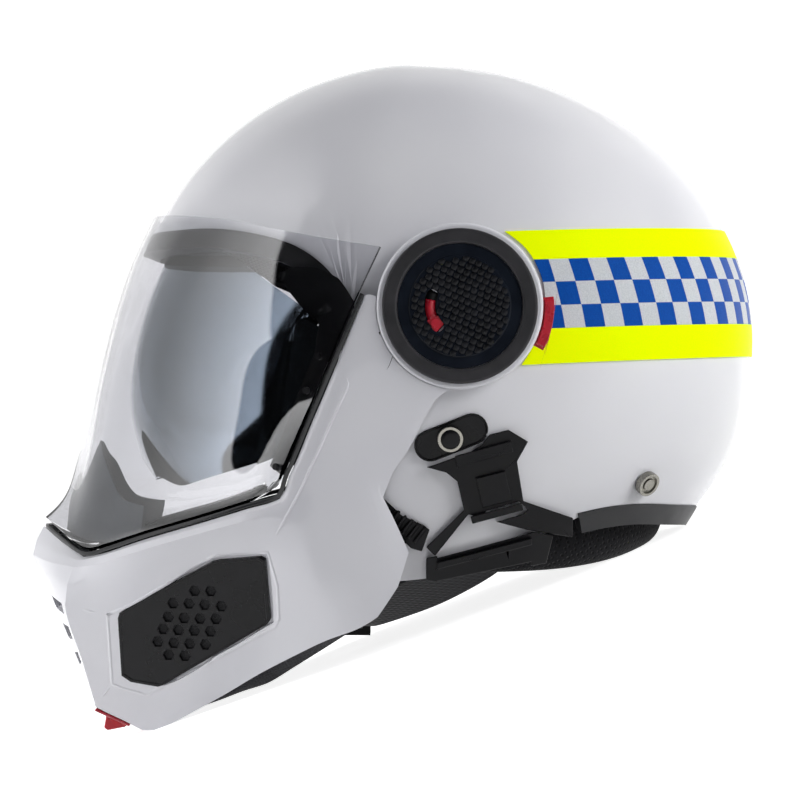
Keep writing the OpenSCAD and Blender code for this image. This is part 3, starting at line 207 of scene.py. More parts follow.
@dataclass(frozen=True)
class Nodes:
    """A node tree that is being filled, with what the finishes and the studio share."""

    tree: bpy.types.NodeTree

    @classmethod
    def of(cls, owner: bpy.types.ID) -> Nodes:
        """The emptied node tree of a material or a world."""
        owner.use_nodes = True
        owner.node_tree.nodes.clear()
        return cls(owner.node_tree)

    def add(self, kind: str, out: str, inputs: dict | None = None, **settings) -> Socket:
        """Adds a node as add_node does, and gives the one of its outputs that is named."""
        return add_node(self.tree, kind, inputs, **settings).outputs[out]

    def spot(self) -> Socket:
        """The place on the object, in metres, that three-dimensional patterns are drawn by."""
        return self.add("TexCoord", "Object")

    def grain(self, size_mm: float, detail: float) -> Socket:
        """A noise whose bumps are about size_mm apart."""
        return self.add("TexNoise", "Fac", {"Vector": self.spot(), "Scale": 1 / (size_mm * MM),
                                            "Detail": detail})

    def over(self, value: Socket, ends: Pair, values: Pair = WHOLE_SPAN) -> Socket:
        """A number that goes between two values while another goes between two ends."""
        return self.add("MapRange", "Result", {
            "Value": value, "From Min": ends[0], "From Max": ends[1], "To Min": values[0],
            "To Max": values[1]})

    def sum(self, kind: str, one: Socket, two: Socket | float) -> Socket:
        """The result of a sum, such as MULTIPLY, of two numbers."""
        return self.add("Math", "Value", {0: one, 1: two}, operation=kind)

    def tint(self, factor: Socket, low: str, high: str, reach: Pair = NOISE_SPAN) -> Socket:
        """A colour between two hex colours, by a factor that is spread over reach first."""
        colour = self.add("ValToRGB", "Color", {"Fac": factor})
        for stop, place, shade in zip(colour.node.color_ramp.elements, reach, (low, high)):
            stop.position, stop.color = place, linear(shade)
        return colour

    def bump(self, height: Socket, deep_mm: float, strength: float,
             under: Socket | None = None) -> Socket:
        """A normal for a relief of deep_mm, over another relief if there is one."""
        inputs: dict = {"Height": height, "Distance": deep_mm * MM, "Strength": strength}
        if under:
            inputs["Normal"] = under
        return self.add("Bump", "Normal", inputs)

    def skin(self, inputs: dict) -> Socket:
        """A principled shader."""
        return self.add("BsdfPrincipled", "BSDF", inputs)

    def blend(self, factor: Socket, one: Socket, two: Socket) -> Socket:
        """One shader where the factor is 0, and the other where it is 1."""
        return self.add("MixShader", "Shader", {0: factor, 1: one, 2: two})

    def seen(self) -> Socket:
        """A factor of 1 for rays that show a thing, straight, by reflection or through glass."""
        path = add_node(self.tree, "LightPath").outputs
        first = self.sum("MAXIMUM", path["Is Camera Ray"], path["Is Glossy Ray"])
        return self.sum("MAXIMUM", first, path["Is Transmission Ray"])


@dataclass(frozen=True)
class Finish:
    """A finish: a named material whose subclass says how its surface looks."""

    name: str

    def material(self) -> bpy.types.Material:
        """The finish's Blender material, made once."""
        found = bpy.data.materials.get(self.name)
        if found:
            return found
        made = bpy.data.materials.new(self.name)
        nodes = Nodes.of(made)
        add_node(nodes.tree, "OutputMaterial", {"Surface": self.surface(nodes)})
        return made

    def surface(self, nodes: Nodes) -> Socket:
        """Makes the shader and gives its output."""
        raise NotImplementedError


@dataclass(frozen=True)
class ClearCoatPaint(Finish):
    """White two-pack paint under clear lacquer, sprayed on a fibre or moulded shell.

    Lacquer gives it a sharp thin gloss over a soft one, and sprayed lacquer keeps a very
    shallow orange peel, a few millimetres across.
    """

    low: str = "#E2E2E7"
    high: str = "#E8E8EC"
    cloud_mm: float = 55.0
    peel_mm: float = 3.2
    peel_deep_mm: float = 0.012

    def surface(self, nodes: Nodes) -> Socket:
        """Paint in a base coat and a clear coat, with the peel in both."""
        peel = nodes.bump(nodes.grain(self.peel_mm, 1.0), self.peel_deep_mm, 0.35)
        return nodes.skin({
            "Base Color": nodes.tint(nodes.grain(self.cloud_mm, 1.0), self.low, self.high),
            "Roughness": 0.32, "IOR": 1.45, "Specular IOR Level": 0.35, "Coat Weight": 0.55,
            "Coat Roughness": 0.04, "Coat IOR": 1.5, "Coat Normal": peel, "Normal": peel})


@dataclass(frozen=True)
class Grained(Finish):
    """A moulded or turned skin with a fine relief, whose tone and gloss drift over patches."""

    low: str = "#000000"
    high: str = "#FFFFFF"
    roughness: Pair = NOISE_SPAN
    patch_mm: float = 12.0
    patch_detail: float = 2.0
    grain_mm: float = 0.7
    grain_detail: float = 3.0
    deep_mm: float = 0.05
    strength: float = 0.3
    ior: float = 1.5
    specular: float = 0.5
    metallic: float = 0.0
    subsurface: float = 0.0

    def surface(self, nodes: Nodes) -> Socket:
        """The skin, with its gloss and its tone by the same patches."""
        patch = nodes.grain(self.patch_mm, self.patch_detail)
        fine = nodes.grain(self.grain_mm, self.grain_detail)
        return nodes.skin({
            "Base Color": nodes.tint(patch, self.low, self.high),
            "Roughness": nodes.over(patch, NOISE_SPAN, self.roughness), "IOR": self.ior,
            "Specular IOR Level": self.specular, "Metallic": self.metallic,
            "Subsurface Weight": self.subsurface,
            "Normal": nodes.bump(fine, self.deep_mm, self.strength)})


@dataclass(frozen=True)
class MouldedNylon(Grained):
    """Black nylon moulded in a spark-eroded tool: a fine even grain and a dull sheen."""

    low: str = "#08080A"
    high: str = "#0E0E11"
    roughness: Pair = (0.34, 0.48)
    strength: float = 0.6
    specular: float = 0.14


@dataclass(frozen=True)
class SoftRubber(Grained):
    """Extruded rubber seal: dull, slightly grey with bloom, with faint lines of the die."""

    low: str = "#0E0E10"
    high: str = "#151518"
    roughness: Pair = (0.4, 0.54)
    patch_mm: float = 18.0
    patch_detail: float = 3.0
    grain_mm: float = 0.9
    grain_detail: float = 2.0
    deep_mm: float = 0.04
    strength: float = 0.5
    specular: float = 0.4


@dataclass(frozen=True)
class SignalPlastic(Grained):
    """Bright red plastic, moulded in a polished tool, with faint flow marks 6 mm apart."""

    low: str = "#B0102A"
    high: str = "#C8142C"
    roughness: Pair = (0.24, 0.34)
    patch_mm: float = 6.0
    grain_mm: float = 6.0
    grain_detail: float = 2.0
    deep_mm: float = 0.02
    ior: float = 1.53
    subsurface: float = 0.05


@dataclass(frozen=True)
class TurnedMetal(Grained):
    """Turned or plated metal, with fine marks of the tool 0.4 mm apart."""

    low: str = "#8C8E92"
    high: str = "#A6A8AB"
    roughness: Pair = (0.2, 0.34)
    patch_mm: float = 0.4
    patch_detail: float = 3.0
    grain_mm: float = 0.4
    deep_mm: float = 0.01
    metallic: float = 1.0


@dataclass(frozen=True)
class ClearSheet(Finish):
    """Clear polycarbonate, injection moulded and hard coated: water-clear, with bright edges."""

    colour: str = "#E2E2E5"
    shade: str = "#F2F4F5"
    ripple_mm: float = 40.0

    def surface(self, nodes: Nodes) -> Socket:
        """Glass for what is seen, and nearly nothing for shadows, as a thin sheet casts none."""
        glass = nodes.skin({
            "Base Color": linear(self.colour), "Roughness": 0.0, "IOR": 1.585,
            "Transmission Weight": 1.0, "Specular IOR Level": 0.5,
            "Normal": nodes.bump(nodes.grain(self.ripple_mm, 1.0), 0.02, 0.1)})
        clear = nodes.add("BsdfTransparent", "BSDF", {"Color": linear(self.shade)})
        return nodes.blend(nodes.add("LightPath", "Is Shadow Ray"), glass, clear)


@dataclass(frozen=True)
class MirrorSheet(Finish):
    """Grey polycarbonate with a vacuum-coated mirror: it reflects the studio, slightly blue."""

    low: str = "#6A747E"
    high: str = "#727C86"
    drift_mm: float = 60.0

    def surface(self, nodes: Nodes) -> Socket:
        """A metal film whose tone drifts a little."""
        drift = nodes.grain(self.drift_mm, 1.0)
        return nodes.skin({"Base Color": nodes.tint(drift, self.low, self.high),
                           "Metallic": 1.0, "Roughness": 0.06})


@dataclass(frozen=True)
class ChequerFilm(Finish):
    """Printed retroreflective film: blue and silver squares over glass beads.

    The beads are 0.05 mm across and are drawn 0.5 mm apart, so that the sparkle shows.
    """

    blues: tuple[str, str] = ("#08459A", "#0D52AE")
    silvers: tuple[str, str] = ("#C3C7CC", "#DADDE0")
    bead_mm: float = 0.5

    def surface(self, nodes: Nodes) -> Socket:
        """Squares by the film's own map, one unit to a square."""
        film = nodes.add("UVMap", "UV", uv_map="film")
        squares = nodes.add("TexChecker", "Fac", {"Vector": film, "Scale": 1.0})
        beads = nodes.grain(self.bead_mm, 1.0)
        blue, silver = nodes.tint(beads, *self.blues), nodes.tint(beads, *self.silvers)
        colour = nodes.add("Mix", "Result", {"Factor": squares, "A": silver, "B": blue},
                           data_type="RGBA")
        return nodes.skin({
            "Base Color": colour, "Roughness": 0.4, "IOR": 1.5, "Specular IOR Level": 0.1,
            "Normal": nodes.bump(beads, 0.02, 0.3)})


@dataclass(frozen=True)
class FluorescentFilm(Finish):
    """Fluorescent vinyl film: it turns blue light into yellow, so it glows a little by day. The
    glow is painted light: an emission of its own colour, shown whatever lights it.
    """

    low: str = "#D6EA00"
    high: str = "#DFF200"
    # Strength of the painted glow, an emission that stands in for the film's fluorescence.
    glow: float = 0.3
    bead_mm: float = 0.6

    def surface(self, nodes: Nodes) -> Socket:
        """Vinyl with a small painted glow of its own colour, which stands in for its fluorescence.
        """
        beads = nodes.grain(self.bead_mm, 1.0)
        return nodes.skin({
            "Base Color": nodes.tint(beads, self.low, self.high), "Roughness": 0.42, "IOR": 1.5,
            # Painted light: the emission makes the film glow whatever lights it.
            "Specular IOR Level": 0.02, "Emission Color": linear(self.high),
            "Emission Strength": self.glow, "Normal": nodes.bump(beads, 0.015, 0.3)})


@dataclass(frozen=True)
class SpacerMesh(Finish):
    """Knitted spacer mesh over foam: rows of small holes in a dull knit, with painted shade that
    darkens the holes.
    """

    low: str = "#060607"
    high: str = "#18181B"
    pitch_mm: float = 2.3
    thread_mm: float = 0.45
    hole: Pair = (0.22, 0.42)

    def surface(self, nodes: Nodes) -> Socket:
        """Holes in a grid, with fine threads between them, and the holes painted darker as shade.
        """
        cells = nodes.add("TexVoronoi", "Distance", {
            "Vector": nodes.spot(), "Scale": 1 / (self.pitch_mm * MM), "Randomness": 0.08})
        knit = nodes.over(cells, self.hole)
        relief = nodes.bump(nodes.grain(self.thread_mm, 2.0), 0.12, 0.6,
                            nodes.bump(knit, 0.6, 0.9))
        return nodes.skin({
            # Painted shade: the colour darkens in the holes, where the bump sinks them.
            "Base Color": nodes.tint(knit, self.low, self.high, WHOLE_SPAN), "Roughness": 0.85,
            "Specular IOR Level": 0.2, "Sheen Weight": 0.08, "Sheen Roughness": 0.5,
            "Normal": relief})


@dataclass(frozen=True)
class Webbing(Finish):
    """Woven polyester webbing: a twill of threads 0.9 mm wide, slightly shiny."""

    low: str = "#101013"
    high: str = "#26262A"
    thread_mm: float = 0.9
    # A wave texture's period is this over its Scale, in metres.
    wave_period: float = 0.314
    turns: Pair = (40.0, -50.0)

    def surface(self, nodes: Nodes) -> Socket:
        """Two crossing sets of ribs, as in a twill, each a rib and a gap of one thread; the gaps
        are painted darker as shade.
        """
        waves = []
        for turn in map(math.radians, self.turns):
            laid = nodes.add("Mapping", "Vector", {"Vector": nodes.spot(),
                                                   "Rotation": (turn, turn, 0)})
            waves.append(nodes.add("TexWave", "Fac", {
                "Vector": laid, "Scale": self.wave_period / (2 * self.thread_mm * MM),
                "Distortion": 0.4}))
        twill = nodes.sum("MAXIMUM", *waves)
        return nodes.skin({
            # Painted shade: the colour darkens in the gaps between the ribs, where the bump sinks
            # them.
            "Base Color": nodes.tint(twill, self.low, self.high, (0.1, 0.9)),
            "Roughness": 0.7, "Sheen Weight": 0.3, "Normal": nodes.bump(twill, 0.25, 0.8)})


@dataclass(frozen=True)
class BeadFoam(Finish):
    """Moulded expanded foam: beads about 3 mm across, pressed flat on the mould's skin."""

    low: str = "#232427"
    high: str = "#303135"
    bead_mm: float = 3.0
    border: float = 0.12

    def surface(self, nodes: Nodes) -> Socket:
        """Beads from a cell pattern, sunk a little along their borders and painted darker there as
        shade.
        """
        cells = nodes.add("TexVoronoi", "Distance", {
            "Vector": nodes.spot(), "Scale": 1 / (self.bead_mm * MM)}, feature="DISTANCE_TO_EDGE")
        bead = nodes.over(cells, (0.0, self.border))
        return nodes.skin({
            # Painted shade: the colour darkens along the beads' sunk borders.
            "Base Color": nodes.tint(bead, self.low, self.high, WHOLE_SPAN), "Roughness": 0.75,
            "Specular IOR Level": 0.2, "Normal": nodes.bump(bead, 0.25, 0.7)})


@dataclass(frozen=True)
class StudioPaper(Finish):
    """Plain white paper sweep. The camera sees it as white, and it keeps the helmet's shadow."""

    low: str = "#EDEDED"
    high: str = "#F0F0F0"
    cloud_mm: float = 300.0
    lift: float = 0.86

    def surface(self, nodes: Nodes) -> Socket:
        """Paper for the light that falls on it, lifted to white for what looks at it."""
        paper = nodes.add("BsdfDiffuse", "BSDF", {
            "Color": nodes.tint(nodes.grain(self.cloud_mm, 2.0), self.low, self.high)})
        glow = nodes.add("Emission", "Emission", {"Color": linear("#FFFFFF"),
                                                  "Strength": self.lift})
        both = nodes.add("AddShader", "Shader", {0: paper, 1: glow})
        return nodes.blend(nodes.seen(), paper, both)


class Finishes:
    """All the helmet's finishes, named for what they are."""

    SHELL = ClearCoatPaint("lacquered_white_shell")
    GUARD = ClearCoatPaint("lacquered_white_guard", low="#E0E0E6", high="#E6E6EB")
    NYLON = MouldedNylon("moulded_black_nylon")
    SATIN = MouldedNylon("moulded_satin_black", low="#0A0A0C", high="#101013",
                         roughness=(0.24, 0.34), grain_mm=0.5, deep_mm=0.03)
    RING = MouldedNylon("moulded_ring_black", low="#303032", high="#3B3A3D",
                        roughness=(0.36, 0.48), grain_mm=0.45, deep_mm=0.06)
    GLOSS_BLACK = MouldedNylon("polished_black_plastic", low="#171B23", high="#1C212A",
                               roughness=(0.07, 0.12), grain_mm=8.0, deep_mm=0.01)
    COBBLES = MouldedNylon("cobbled_black_plastic", low="#0F1013", high="#1A1B1F",
                           roughness=(0.28, 0.42), grain_mm=0.4)
    RUBBER = SoftRubber("extruded_rubber")
    GASKET = SoftRubber("moulded_gasket_rubber", low="#101114", high="#17181B",
                        roughness=(0.22, 0.32))
    DEFLECTOR = SoftRubber("moulded_soft_grey_rubber", low="#3E4247", high="#4B5056")
    VISOR = ClearSheet("clear_polycarbonate")
    SUN_VISOR = MirrorSheet("mirror_coated_polycarbonate")
    CHEQUER = ChequerFilm("chequered_reflective_film")
    BRIGHT = FluorescentFilm("fluorescent_yellow_film")
    RED = SignalPlastic("polished_red_plastic")
    STEEL = TurnedMetal("turned_steel")
    NICKEL = TurnedMetal("plated_nickel", low="#7C7A74", high="#94928B", roughness=(0.24, 0.38))
    MESH = SpacerMesh("knitted_spacer_mesh")
    CLOTH = SpacerMesh("brushed_lining_cloth", low="#1A1A1D", high="#2B2B30", pitch_mm=1.4)
    WEBBING = Webbing("woven_webbing")
    FOAM = BeadFoam("expanded_foam")
    FILTER = BeadFoam("open_cell_filter_foam", low="#0C0C0D", high="#1D1D1F", bead_mm=1.2)
    PAPER = StudioPaper("white_paper_sweep")


# ---- Meshes ----


def add_object(name: str, data: bpy.types.ID) -> Piece:
    """Adds an object to the scene."""
    made = bpy.data.objects.new(name, data)
    bpy.context.scene.collection.objects.link(made)
    return made


def add_mesh(name: str, points: Iterable[Vector], faces: Iterable[Sequence[int]]) -> Piece:
    """Adds a mesh object from points in the row frame, and faces as numbers of points."""
    data = bpy.data.meshes.new(name)
    data.from_pydata([tuple(p) for p in points], [], [list(f) for f in faces])
    data.update()
    return add_object(name, data)


def paint(piece: Piece, finish: Finish) -> None:
    """Gives a piece one finish in place of what it had."""
    piece.data.materials.clear()
    piece.data.materials.append(finish.material())


def settle(piece: Piece, node: str, finish: Finish) -> Piece:
    """Dresses a piece, and puts it in a CAD node's place on that node's body."""
    paint(piece, finish)
    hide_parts(node)
    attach(piece, BODY_OF[node])
    LOG.info("%s stands for %s", piece.name, node)
    return piece


def dress(finish: Finish, *nodes: str) -> None:
    """Gives CAD nodes that stay their finish."""
    for node in nodes:
        paint(frame["nodes"][node], finish)
        LOG.info("%s keeps its CAD form", node)


def add_piece(name: str, points: Iterable[Vector], faces: Iterable[Sequence[int]], node: str,
              finish: Finish) -> Piece:
    """Adds a piece of its own from points and faces.

    Args:
        name: the piece's name.
        points: its points, in the row frame.
        faces: its faces, as numbers of points.
        node: the CAD node whose body it rides on.
        finish: its finish.

    Returns:
        The new piece.
    """
    piece = add_mesh(name, points, faces)
    piece.data.shade_smooth()
    paint(piece, finish)
    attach(piece, BODY_OF[node])
    LOG.info("%s is added", name)
    return piece


@dataclass
class Recast:
    """Makes a smooth, fuller piece from a faceted CAD node.

    The node's triangles are joined into the quads that they were split from, edges sharper
    than a limit keep their crease, and a subdivision surface goes through the node's own points.
    Without levels, the piece's edges are rounded by bevel_mm instead. Lengths are in metres and
    angles in degrees. Faces that look towards the core, a worn place, get the inside finish.
    """

    node: str
    finish: Finish
    levels: int = 2
    edges: Edges = Edges.MOULDED
    bevel_mm: float = 0.0
    inside: Finish | None = None
    faint: float = 90.0
    faint_crease: float = 0.55
    weld: float = 0.004 * MM
    coplanar: float = 1.0
    quad_bend: float = 28.0
    quad_skew: float = 75.0
    furthest: float = 0.9 * MM
    core: tuple[float, float, float] = (0.0, -40.0, -60.0)
    inward: float = -0.35

    def quads(self) -> Cage:
        """The node's mesh with welded points and joined triangles."""
        mesh = bmesh.new()
        mesh.from_mesh(frame["nodes"][self.node].data)
        bmesh.ops.remove_doubles(mesh, verts=mesh.verts, dist=self.weld)
        if self.bevel_mm:
            bmesh.ops.dissolve_limit(mesh, angle_limit=math.radians(self.coplanar),
                                     verts=mesh.verts, edges=mesh.edges)
        else:
            bmesh.ops.join_triangles(mesh, faces=mesh.faces,
                                     angle_face_threshold=math.radians(self.quad_bend),
                                     angle_shape_threshold=math.radians(self.quad_skew))
        return mesh

    def creased(self, mesh: Cage) -> None:
        """Marks the edges that stay sharp, and those that stay as a soft ridge."""
        crease = mesh.edges.layers.float.new("crease_edge")
        limit, faint = math.radians(self.edges.value), math.radians(self.faint)
        for edge in mesh.edges:
            bend = edge.calc_face_angle(0) if len(edge.link_faces) == 2 else math.pi
            if bend > limit:
                edge[crease] = 1.0
                edge.smooth = False
            elif bend > faint:
                edge[crease] = self.faint_crease

    def build(self, shape: Callable[[Cage], None] | None = None) -> Piece:
        """Builds the piece, puts it in its node's place and dresses it.

        Args:
            shape: something more to do to the quads before they are smoothed.

        Returns:
            The new piece, which rides on the node's body.
        """
        mesh = self.quads()
        self.creased(mesh)
        if shape:
            shape(mesh)
        data = bpy.data.meshes.new(self.node + "_piece")
        mesh.to_mesh(data)
        mesh.free()
        data.shade_smooth()
        piece = add_object(data.name, data)
        if self.levels:
            self.through_points(piece)
        else:
            if self.bevel_mm:
                self.round_edges(piece)
            else:
                data.set_sharp_from_angle(angle=math.radians(self.edges.value))
            keep_flat(piece)
        settle(piece, self.node, self.finish)
        if self.inside:
            self.line(piece)
        return piece

    def line(self, piece: Piece) -> None:
        """Gives the faces that look inwards, towards the core, the inside finish."""
        piece.data.materials.append(self.inside.material())
        core = STAND.place(*self.core)
        for face in piece.data.polygons:
            if face.normal.dot((face.center - core).normalized()) < self.inward:
                face.material_index = 1

    def round_edges(self, piece: Piece) -> None:
        """Rounds the piece's sharp edges, so that they catch the light."""
        cut = piece.modifiers.new("rounded_edges", "BEVEL")
        cut.width, cut.segments, cut.limit_method = self.bevel_mm * MM, 2, "ANGLE"
        cut.angle_limit = math.radians(self.edges.value)
        cut.use_clamp_overlap = False
        cut.harden_normals = True

    def through_points(self, piece: Piece) -> None:
        """Adds the subdivision, and moves its cage so that the surface meets the node's points."""
        smooth = piece.modifiers.new("smooth", "SUBSURF")
        smooth.levels = smooth.render_levels = 1
        smooth.use_creases = True
        aim = [v.co.copy() for v in piece.data.vertices]
        for _ in range(3):
            bpy.context.view_layer.update()
            shown = piece.evaluated_get(bpy.context.evaluated_depsgraph_get()).data
            for vertex, goal in zip(piece.data.vertices, aim):
                step = vertex.co + (goal - shown.vertices[vertex.index].co) - goal
                if step.length >= self.furthest:
                    step = step.normalized() * self.furthest
                vertex.co = goal + step
            piece.data.update()
        smooth.levels = smooth.render_levels = self.levels


def keep_flat(piece: Piece) -> None:
    """Shades a piece's large faces flat, up to its rounded or sharp edges."""
    piece.modifiers.new("flat_faces", "WEIGHTED_NORMAL").keep_sharp = True


def hard(node: str, finish: Finish, bevel_mm: float,
         shape: Callable[[Cage], None] | None = None) -> Piece:
    """Builds a hard piece in a node's place, with its edges rounded by bevel_mm."""
    return Recast(node, finish, 0, bevel_mm=bevel_mm).build(shape)


def pad(node: str, finish: Finish) -> None:
    """Builds a soft piece in a node's place, creased at its seams and full between them."""
    Recast(node, finish, edges=Edges.SOFT).build()


class Rings:
    """A form of points that lie in closed rings, and of the faces between them."""

    def __init__(self) -> None:
        """Starts with no points and no faces."""
        self.points: list[Vector] = []
        self.faces: list[list[int]] = []

    def ring(self, spots: Iterable[Vector]) -> list[int]:
        """Adds a ring of points, and gives their numbers."""
        first = len(self.points)
        self.points += spots
        return list(range(first, len(self.points)))

    def wall(self, rings: Sequence[Sequence[int]], turn: int = 1) -> None:
        """Adds the faces between each ring and the next, turned over if turn is -1."""
        for lower, upper in zip(rings, rings[1:]):
            for k, n in enumerate([*range(1, len(lower)), 0]):
                self.faces.append([lower[k], lower[n], upper[n], upper[k]][::turn])


def ribbon_tube(path: Sequence[Vector], outward: Sequence[Vector], halves: Sequence[float],
                high: float, sink: float, sides: int = 7) -> tuple[list[Vector], list[list[int]]]:
    """A low rounded bead that lies along a path on a surface.

    Args:
        path: points on the surface.
        outward: the surface's outward direction at each point.
        halves: half of the bead's width at each point.
        high: how far it stands over the surface.
        sink: how far its edges go into the surface.
        sides: how many points its rounded section has.

    Returns:
        The bead's points and faces.
    """
    points: list[Vector] = []
    faces: list[list[int]] = []
    last = len(path) - 1
    for i, (spot, out) in enumerate(zip(path, outward)):
        along = (path[min(i + 1, last)] - path[max(i - 1, 0)]).normalized()
        side = along.cross(out).normalized() * halves[i]
        rise = (high + sink) * min(halves[i] / max(halves), 1.0)
        for k in range(sides):
            a = math.pi * k / (sides - 1)
            points.append(spot + side * math.cos(a) + out * (math.sin(a) * rise - sink))
    for i in range(last):
        for a in range(i * sides, (i + 1) * sides - 1):
            faces.append([a, a + 1, a + sides + 1, a + sides])
    faces.append(list(range(sides)))
    faces.append(list(range(last * sides + sides - 1, last * sides - 1, -1)))
    return points, faces


class Skin:
    """The outside of a shown piece, for laying other pieces on."""

    def __init__(self, piece: Piece) -> None:
        """Collects the piece's evaluated faces."""
        bpy.context.view_layer.update()
        mesh = bmesh.new()
        mesh.from_mesh(piece.evaluated_get(bpy.context.evaluated_depsgraph_get()).data)
        self.tree = BVHTree.FromBMesh(mesh)
        mesh.free()

    def from_side(self, y: float, z: float, side: Side) -> tuple[Vector, Vector]:
        """The outermost place on a line of sight, and its outward direction.

        Args:
            y: the place in the view from the side, towards the back.
            z: the same, upwards.
            side: the side that the line comes from.

        Returns:
            The place and the direction.
        """
        line = SIGHT.line(y, z, side).normalized()
        hit, normal, _, _ = self.tree.ray_cast(SIGHT.eye(side), line)
        if hit is None:
            raise ValueError(f"nothing at {y}, {z}")
        return hit, normal if normal.x * side.value > 0 else -normal

    def trace(self, path: Line, side: Side,
              step_mm: float = 3.0) -> tuple[list[Vector], list[Vector]]:
        """Places and directions on the skin along a path in the view, step_mm apart."""
        spots, ways = [], []
        for (y0, z0), (y1, z1) in zip(path, path[1:]):
            count = max(1, round(math.hypot(y1 - y0, z1 - z0) / step_mm))
            for k in range(count + (path[-1] == (y1, z1))):
                spot, way = self.from_side(y0 + (y1 - y0) * k / count,
                                           z0 + (z1 - z0) * k / count, side)
                spots.append(spot)
                ways.append(way)
        return spots, ways


# ---- Sub-assemblies ----


@dataclass(frozen=True)
class Film:
    """The three rows of squares and the two bright stripes that run round the back.

    The squares are measured along the CAD shell: half of an oval in front of mid_y and half of
    a longer one behind it, which get smaller towards the top and the bottom.
    """

    square_mm: float = 9.8
    high_mm: float = 31.8
    lean: float = math.tan(math.radians(10))
    shift: float = 0.55
    half_w: float = 122.0
    rear: float = 158.6
    front: float = 137.0
    mid_y: float = -17.5
    mid_z: float = -14.4
    top: float = 131.6
    low: float = 160.0
    fullness: float = 2.2
    taper: float = 0.58
    band_z: float = 3.0
    band_rise: float = 6.4
    rise_power: float = 0.7

    def turn_of(self, place: Vector) -> float:
        """The angle round the shell of a worn place, in degrees from the front."""
        c = (place.z - self.mid_z) / (self.top if place.z > self.mid_z else self.low)
        s = math.sqrt(max(1 - c * c, 0.01))
        length = (self.front if place.y < self.mid_y else self.rear) * s
        across = (abs(place.x) / (self.half_w * s ** self.taper)) ** (self.fullness / 2)
        along = (abs(place.y - self.mid_y) / length) ** (self.fullness / 2)
        return math.degrees(math.atan2(across, -along if place.y > self.mid_y else along))

    def spot(self, turn: float) -> Vector:
        """The place on the oval at an angle, with both its halves laid on one side."""
        w, c = math.sin(math.radians(turn)), math.cos(math.radians(turn))
        return Vector((self.half_w * abs(w) ** (2 / self.fullness),
                       (self.rear if c < 0 else self.front) * abs(c) ** (2 / self.fullness)))

    def arcs(self) -> list[float]:
        """The way round the shell from the middle of the back, for each half degree."""
        spots = [self.spot(180 - k / 2) for k in range(361)]
        return [0.0, *accumulate((b - a).length for a, b in zip(spots, spots[1:]))]

    def map_squares(self, mesh: Cage) -> None:
        """Gives the band a map on which each square is one unit wide and high."""
        arcs = self.arcs()
        film = mesh.loops.layers.uv.new("film")
        for face in mesh.faces:
            for loop in face.loops:
                place = STAND.worn(loop.vert.co)
                turn = self.turn_of(place)
                rise = max(-math.cos(math.radians(turn)), 0) ** self.rise_power
                up = place.z - self.band_z - self.band_rise * rise
                part, k = math.modf(max(0.0, min((180 - turn) * 2, 359.0)))
                way = arcs[int(k)] + (arcs[int(k) + 1] - arcs[int(k)]) * part
                along = -way if place.x > 0 else way
                loop[film].uv = ((along + up * self.lean) / self.square_mm + self.shift,
                                 up / (self.high_mm / 3) + 1.5)

    def build(self) -> None:
        """Builds the band and the stripes."""
        Recast("chequer_band", Finishes.CHEQUER).build(self.map_squares)
        Recast("hi_vis_stripes", Finishes.BRIGHT).build()


@dataclass
class Shell:
    """The painted shell, its rubber edges and the black fittings that it carries.

    A stud's cap is turned: each pair of its profile is a radius and a height, in millimetres.
    """

    fittings: Sequence[str] = ("side_rail", "latch_receiver", "headset_bracket", "stud_seat")
    edge_mm: float = 0.35
    stud_edge_mm: float = 0.3
    cap_profile: Line = ((4.3, -0.3), (4.3, 0.12), (4.0, 0.3), (2.2, 0.42), (0.6, 0.45))
    cap_sides: int = 32
    film: Film = field(default_factory=Film)

    def stud_caps(self, studs: Piece) -> None:
        """Puts the black cap into the middle of each front stud."""
        skin = Skin(studs)
        mounts = {mount["name"]: mount for mount in frame["record"]["mounts"]}
        turns = [2 * math.pi * k / self.cap_sides for k in range(self.cap_sides)]
        for side in Side:
            mount = mounts[f"front_stud_{side.label}"]
            out = Vector(mount["axis"]).normalized()
            spot = skin.tree.ray_cast(Vector(mount["pos_m"]) + out * 30 * MM, -out)[0]
            across = out.orthogonal().normalized()
            other = out.cross(across)
            cap = Rings()
            rims = [cap.ring(spot + (across * math.cos(a) + other * math.sin(a)) * r * MM
                             + out * up * MM for a in turns) for r, up in self.cap_profile]
            cap.wall(rims)
            cap.faces.append(rims[-1])
            add_piece(f"stud_cap_{side.label}", cap.points, cap.faces, "stud_seat_left",
                      Finishes.SATIN)

    def build(self) -> None:
        """Builds the shell and all that is fixed to its outside."""
        Recast("outer_shell", Finishes.SHELL, edges=Edges.CRISP).build()
        for trim in ("brow_trim", "neck_trim"):
            Recast(trim, Finishes.RUBBER, edges=Edges.SOFT).build()
        for fitting in self.fittings:
            finish = Finishes.SATIN if fitting == "stud_seat" else Finishes.NYLON
            for side in Side:
                hard(f"{fitting}_{side.label}", finish, self.edge_mm)
        self.stud_caps(hard("front_studs", Finishes.NICKEL, self.stud_edge_mm))
        hard("rear_studs", Finishes.NICKEL, self.stud_edge_mm)
        self.film.build()


@dataclass
class Liner:
    """The foam liner and the cloth pads in it, with a fill for each kind of pad, which is not
    used.
    """

    crown_fill: float = 0.5
    cheek_fill: float = 0.7
    roll_fill: float = 0.8

    def build(self) -> None:
        """Builds the liner, the pads and the neck roll."""
        Recast("eps_liner", Finishes.FOAM, 1).build()
        pad("crown_pad", Finishes.CLOTH)
        for side in Side:
            pad(f"cheek_pad_{side.label}", Finishes.CLOTH)
        pad("neck_roll", Finishes.MESH)


